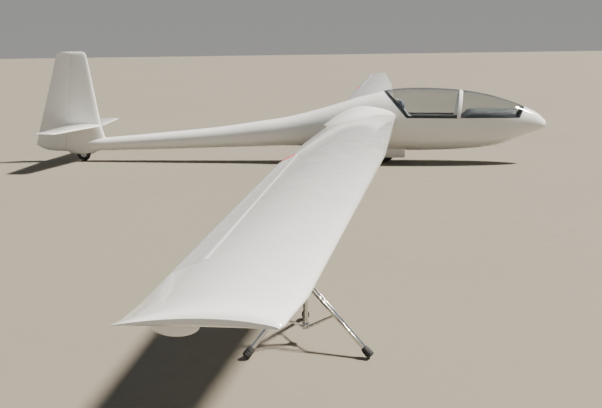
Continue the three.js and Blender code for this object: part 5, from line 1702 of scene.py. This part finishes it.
# %% Strips, channels and rivets
STAND_AT = Vector((1.135, -6.660, 0))
STAND = {"low": 0.101, "high": 0.333, "foot_z": 0.034, "knee": 0.46, "tube": 0.0127, "inner": 0.0095}
STAND_FEET = [(1.467, -6.830), (0.870, -6.887), (1.091, -6.303)]


def stadium(length, wide):
    """Outline of a bar with half circles at its ends."""
    r = wide / 2
    turns = np.linspace(0, math.pi, 10)
    front = [(length + r * math.sin(a), r * math.cos(a)) for a in turns]
    return front + [(-r * math.sin(a), -r * math.cos(a)) for a in turns]


def flat_bar(start, end, wide_way, wide, thick, shift=0.0):
    """A bar with round ends. Its width runs along wide_way, and shift moves it along its thickness."""
    along = (end - start).normalized()
    wide_way = (wide_way - along * along.dot(wide_way)).normalized()
    normal = along.cross(wide_way)
    origin = start + normal * (shift - thick / 2)
    return cut_out(stadium((end - start).length, wide), thick, origin, along, wide_way, 0.0005)


def rivet(centre, way, long, radius=0.0048):
    way = way.normalized()
    return rod(centre - way * long / 2, centre + way * long / 2, radius, sides=20, bevel=0.0012)


def channel(start, end, side, wide, deep, wall):
    """A U-shaped leg with its open face towards the ground."""
    along = (end - start).normalized()
    lift = along.cross(side).normalized()
    if lift.z < 0:
        lift = -lift
    outline = [(-wide / 2, -deep / 2), (-wide / 2, deep / 2), (wide / 2, deep / 2), (wide / 2, -deep / 2),
               (wide / 2 - wall, -deep / 2), (wide / 2 - wall, deep / 2 - wall), (-wide / 2 + wall, deep / 2 - wall),
               (-wide / 2 + wall, -deep / 2)]
    rings = [[tuple(p + side * u + lift * v) for u, v in outline] for p in (start, end)]
    return round_edges(wrap("channel", rings), 0.0009)


foot_profile = [(0.0, 0.0), (0.0170, 0.0), (0.0212, 0.0030), (0.0226, 0.0090), (0.0208, 0.0115), (0.0208, 0.0140),
                (0.0227, 0.0165), (0.0225, 0.0220), (0.0206, 0.0245), (0.0206, 0.0270), (0.0222, 0.0295),
                (0.0208, 0.0400), (0.0185, 0.0520), (0.0160, 0.0560), (0.0120, 0.0562), (0.0120, 0.0500),
                (0.0, 0.0500)]
leg_parts = []
for number, (fx, fy) in enumerate(STAND_FEET):
    out = Vector((fx, fy, 0)) - STAND_AT
    reach = out.length
    out.normalize()
    side = Vector((-out.y, out.x, 0))
    at = lambda r, z: STAND_AT + out * r + Vector((0, 0, z))
    top, shoe = at(STAND["tube"] + 0.006, STAND["high"]), at(reach, STAND["foot_z"])
    knee = top.lerp(shoe, STAND["knee"])
    along = (shoe - top).normalized()
    broad = along.cross(side)
    for shift in (-0.011, 0.011):
        strip = flat_bar(top + along * 0.004, knee.lerp(shoe, 0.07), broad, 0.0185, 0.0022, shift)
        leg_parts.append(strip)
    leg_parts.append(channel(knee.lerp(top, 0.05), shoe - along * 0.006, side, 0.0190, 0.0190, 0.0020))
    leg_parts.append(flat_bar(at(STAND["tube"] + 0.010, STAND["low"]), knee + along * 0.002, broad, 0.0150, 0.0030))
    for place, long in ((top + along * 0.005, 0.0285), (top.lerp(knee, 0.5), 0.0285), (knee - along * 0.004, 0.030),
                        (knee.lerp(shoe, 0.06), 0.029)):
        leg_parts.append(rivet(place, side, long))
    leg_parts.append(rivet(top.lerp(knee, 0.5), side, 0.020, 0.0075))
    leg_parts.append(rivet(at(STAND["tube"] + 0.011, STAND["low"]), side, 0.026, 0.0040))
    foot = turned("foot", foot_profile, 36, shoe + along * 0.0252, -along, "Z")
    edit(foot)
    bpy.ops.mesh.bisect(plane_co=(0, 0, 0.0004), plane_no=(0, 0, 1), clear_inner=True, use_fill=True)
    leave_edit()
    dress(soften(foot, 35), f"stand_rubber_foot_{number + 1}", "airframe", black_rubber,
          [f"stand_foot_{number + 1}"])

collar_profile = [(0.0131, -0.015), (0.0195, -0.015), (0.0209, -0.0130), (0.0209, 0.0130), (0.0195, 0.015),
                  (0.0131, 0.015)]
for height in (STAND["low"], STAND["high"]):
    leg_parts.append(turned("collar", collar_profile, 48, STAND_AT + Vector((0, 0, height)), (0, 0, 1)))
    leg_parts.append(rod(STAND_AT + Vector((0.010, -0.020, height)), STAND_AT + Vector((0.020, -0.038, height)),
                         0.0042, sides=24, bevel=0.0008))
wing_nut = cut_out([(-0.016, -0.004), (-0.009, -0.006), (0.009, -0.006), (0.016, -0.004), (0.018, 0.004),
                    (0.009, 0.006), (0.004, 0.003), (-0.004, 0.003), (-0.009, 0.006), (-0.018, 0.004)], 0.004,
                   STAND_AT + Vector((0.0185, -0.0355, STAND["high"])), (0.87, 0.5, 0), (0, 0, 1), 0.0012)
leg_parts.append(wing_nut)
legs = soften(join(leg_parts, "legs"), 35)
dress(legs, "stand_folding_legs", "airframe", chrome, ["stand_legs"])

column_profile = [(0.0, 0.084), (0.0100, 0.084), (0.0124, 0.0862), (0.0126, 0.5420), (0.0172, 0.5424),
                  (0.0176, 0.5440), (0.0176, 0.5655), (0.0168, 0.5676), (0.0096, 0.5680), (0.0094, 0.7900),
                  (0.0094, 0.7990), (0.0, 0.7996)]
column = turned("column", column_profile, 48, STAND_AT, (0, 0, 1))
clamp_screw = rod(STAND_AT + Vector((0, -0.010, 0.555)), STAND_AT + Vector((0, -0.040, 0.555)), 0.0036, sides=20,
                  bevel=0.0006)
clamp_grip = cut_out([(-0.018, -0.005), (-0.010, -0.0065), (0.010, -0.0065), (0.018, -0.005), (0.020, 0.004),
                      (0.010, 0.0065), (0.004, 0.0035), (-0.004, 0.0035), (-0.010, 0.0065), (-0.020, 0.004)], 0.0045,
                     STAND_AT + Vector((0, -0.0375, 0.555)), (1, 0, 0), (0, 0, 1), 0.0014)
column = soften(join([column, clamp_screw, clamp_grip], "column"), 35)
dress(column, "stand_chrome_column", "airframe", chrome, ["stand_column"])

# %% [markdown]
# ### Cradle
# The wing lies in a saddle that follows its lower surface. The saddle's steel sides are cut to the curve of the
# rib above them, and a strip of carpet on top keeps the gelcoat from scratches.

# %% Cradle
def wing_under(x, y):
    row = wing_row(abs(y))
    return height_at(rib(row)[1], x)


CRADLE = {"back": 0.987, "front": 1.283, "near": -6.703, "far": -6.617}
SIDE_FOOT = 0.8008
cradle_xs = np.linspace(CRADLE["back"], CRADLE["front"], 22)
steel_parts = []
for y in (CRADLE["near"], CRADLE["far"] - 0.003):
    high_edge = [(x, wing_under(x, y) - 0.0105) for x in cradle_xs]
    low_edge = [(CRADLE["front"] - 0.010, SIDE_FOOT + 0.0027), (STAND_AT.x + 0.040, SIDE_FOOT),
                (STAND_AT.x - 0.040, SIDE_FOOT), (CRADLE["back"] + 0.010, SIDE_FOOT + 0.0027)]
    low_edge = [(x, min(z, wing_under(x, y) - 0.018)) for x, z in low_edge]
    steel_parts.append(cut_out(high_edge + low_edge, 0.003, (0, y + 0.003, 0), (1, 0, 0), (0, 0, 1), 0.0006))


def laid_strip(name, low, high):
    """A strip across the cradle that follows the skin. Its faces lie low and high below the skin."""
    ys = np.linspace(CRADLE["near"], CRADLE["far"], 6)
    rings = []
    for x in cradle_xs:
        ring = [(x, y, wing_under(x, y) - high) for y in ys]
        rings.append(ring + [(x, y, wing_under(x, y) - low) for y in ys[::-1]])
    return wrap(name, rings)


steel_parts.append(laid_strip("saddle", 0.0105, 0.0075))
steel_parts.append(block((STAND_AT.x - 0.045, CRADLE["near"] + 0.004, 0.8004),
                         (STAND_AT.x + 0.045, CRADLE["far"] - 0.004, 0.8036), 0.0008))
cradle = soften(join(steel_parts, "cradle"), 35)
dress(cradle, "stand_cradle_steel", "airframe", black_steel, ["stand_cradle"])
pad = round_edges(laid_strip("pad", 0.0074, 0.0012), 0.002, segments=3)
dress(soften(pad, 45), "stand_cradle_carpet", "airframe", carpet)

# %% [markdown]
# ## Tapes and small trim
# A white tape covers the aileron's hinge gap, and a red patch marks the trailing edge beside it. A tape is a grid
# laid on the skin, a fraction of a millimetre proud, so every point asks the rib formula for its height.

# %% Tapes on the wing
def tape_on_wing(name, ys, centre_at, wide, lift=0.0004):
    """A tape along the upper skin, with its middle at x = centre_at(y)."""
    rows = []
    for y in ys:
        upper = rib(wing_row(y))[0]
        rows.append([(x, y, height_at(upper, x) + lift) for x in centre_at(y) + np.linspace(-wide / 2, wide / 2, 5)])
    tape = lay_sheet(name, rows)
    modify(tape, "SOLIDIFY", thickness=0.0003, offset=1 if looks_up(tape) else -1)
    return soften(tape, 40)


hinge_tape = tape_on_wing("hinge_tape", np.linspace(5.275, 8.325, 40), lambda y: hinge_x(y) + 0.0100, 0.013)
dress_both(hinge_tape, "aileron_tape_SIDE", "airframe", white_tape)


def trail_at(y):
    return float(rib(wing_row(y))[0][0, 0])


patch_ys = np.linspace(4.97, 5.24, 7)
red_patch = tape_on_wing("red_patch", patch_ys, lambda y: trail_at(y) + 0.048, 0.088, 0.0006)
dress_both(red_patch, "red_tape_patch_SIDE", "airframe", red_tape)


# %% [markdown]
# ## Stage, light and camera
# The floor is plain and pale, and reaches further than any camera sees. The key light is a soft sun, high ahead of
# the nose, where the shadows say that the daylight came from, and a pale sky fills the rest. The camera stands off
# the right wing tip, low, and looks along the wing at the fuselage.

# %% Floor
bpy.ops.mesh.primitive_grid_add(x_subdivisions=8, y_subdivisions=8, size=1)
floor = bpy.context.object
floor.scale = (640, 640, 1)
floor.location = (0, 20, 0)
settle(floor)
floor.name = "floor"
floor_finish = finish_of("floor_pale", ageing, {
    "Colour": rgb(0.185, 0.162, 0.122), "Stain": rgb(0.155, 0.135, 0.10), "Patch Scale": 0.25, "Stain Amount": 0.35,
    "Smooth": 0.75, "Rough": 0.95, "Grain Scale": 30.0}, 0.05, 0.002)
floor.data.materials.append(floor_finish)

# %% Sky and lamps
world = bpy.data.worlds.new("soft_sky")
bpy.context.scene.world = world
world.use_nodes = True
sky_tree = world.node_tree
background = sky_tree.nodes["Background"]
upward = node(sky_tree, "ShaderNodeSeparateXYZ", Vector=node(sky_tree, "ShaderNodeTexCoord").outputs["Generated"])
ramp = node(sky_tree, "ShaderNodeValToRGB", Fac=upward.outputs["Z"])
ramp.color_ramp.elements[0].position = 0.0
ramp.color_ramp.elements[0].color = (0.76, 0.75, 0.73, 1)
ramp.color_ramp.elements[1].position = 0.6
ramp.color_ramp.elements[1].color = (0.52, 0.59, 0.68, 1)
sky_tree.links.new(ramp.outputs["Color"], background.inputs["Color"])
background.inputs["Strength"].default_value = 0.44


def hang_lamp(kind, name, place, power, tint):
    """Hang a lamp that looks at the middle of the aircraft."""
    bpy.ops.object.light_add(type=kind, location=place)
    lamp = bpy.context.object
    lamp.name = name
    lamp.data.energy = power
    lamp.data.color = tint
    lamp.rotation_euler = (Vector((0, 0, 0.5)) - Vector(place)).to_track_quat("-Z", "Y").to_euler()
    return lamp.data


key = hang_lamp("SUN", "key", (27.0, 6.0, 37.0), 13.8, (1.0, 0.955, 0.88))
key.angle = math.radians(6)
near_fill = hang_lamp("AREA", "near_fill", (2.0, -26.0, 9.0), 60, (0.97, 0.98, 1.0))
near_fill.shape = "RECTANGLE"
near_fill.size, near_fill.size_y = 14, 8

# %% [markdown]
# The camera's place, aim and lens come from a solve of the photograph. Its frame is 602 by 408 pixels.

# %% Camera
PHOTO_WIDTH, FOCAL_PIXELS, SENSOR = 602, 750.534, 36.0
camera_data = bpy.data.cameras.new("camera")
camera_data.sensor_width = SENSOR
camera_data.lens = SENSOR * FOCAL_PIXELS / PHOTO_WIDTH
camera_data.clip_end = 400
camera = bpy.data.objects.new("camera", camera_data)
bpy.context.collection.objects.link(camera)
right = Vector((0.992465, 0.121759, -0.013696))
up = Vector((-0.010922, 0.199249, 0.979888))
back = Vector((0.122039, -0.972355, 0.199078))
turn = Matrix((right, up, back)).transposed()
camera.matrix_world = Matrix.LocRotScale(Vector((1.586, -10.3855, 1.5170)), turn.to_quaternion(), None)
bpy.context.scene.camera = camera
print("lens", round(camera_data.lens, 2), "mm")
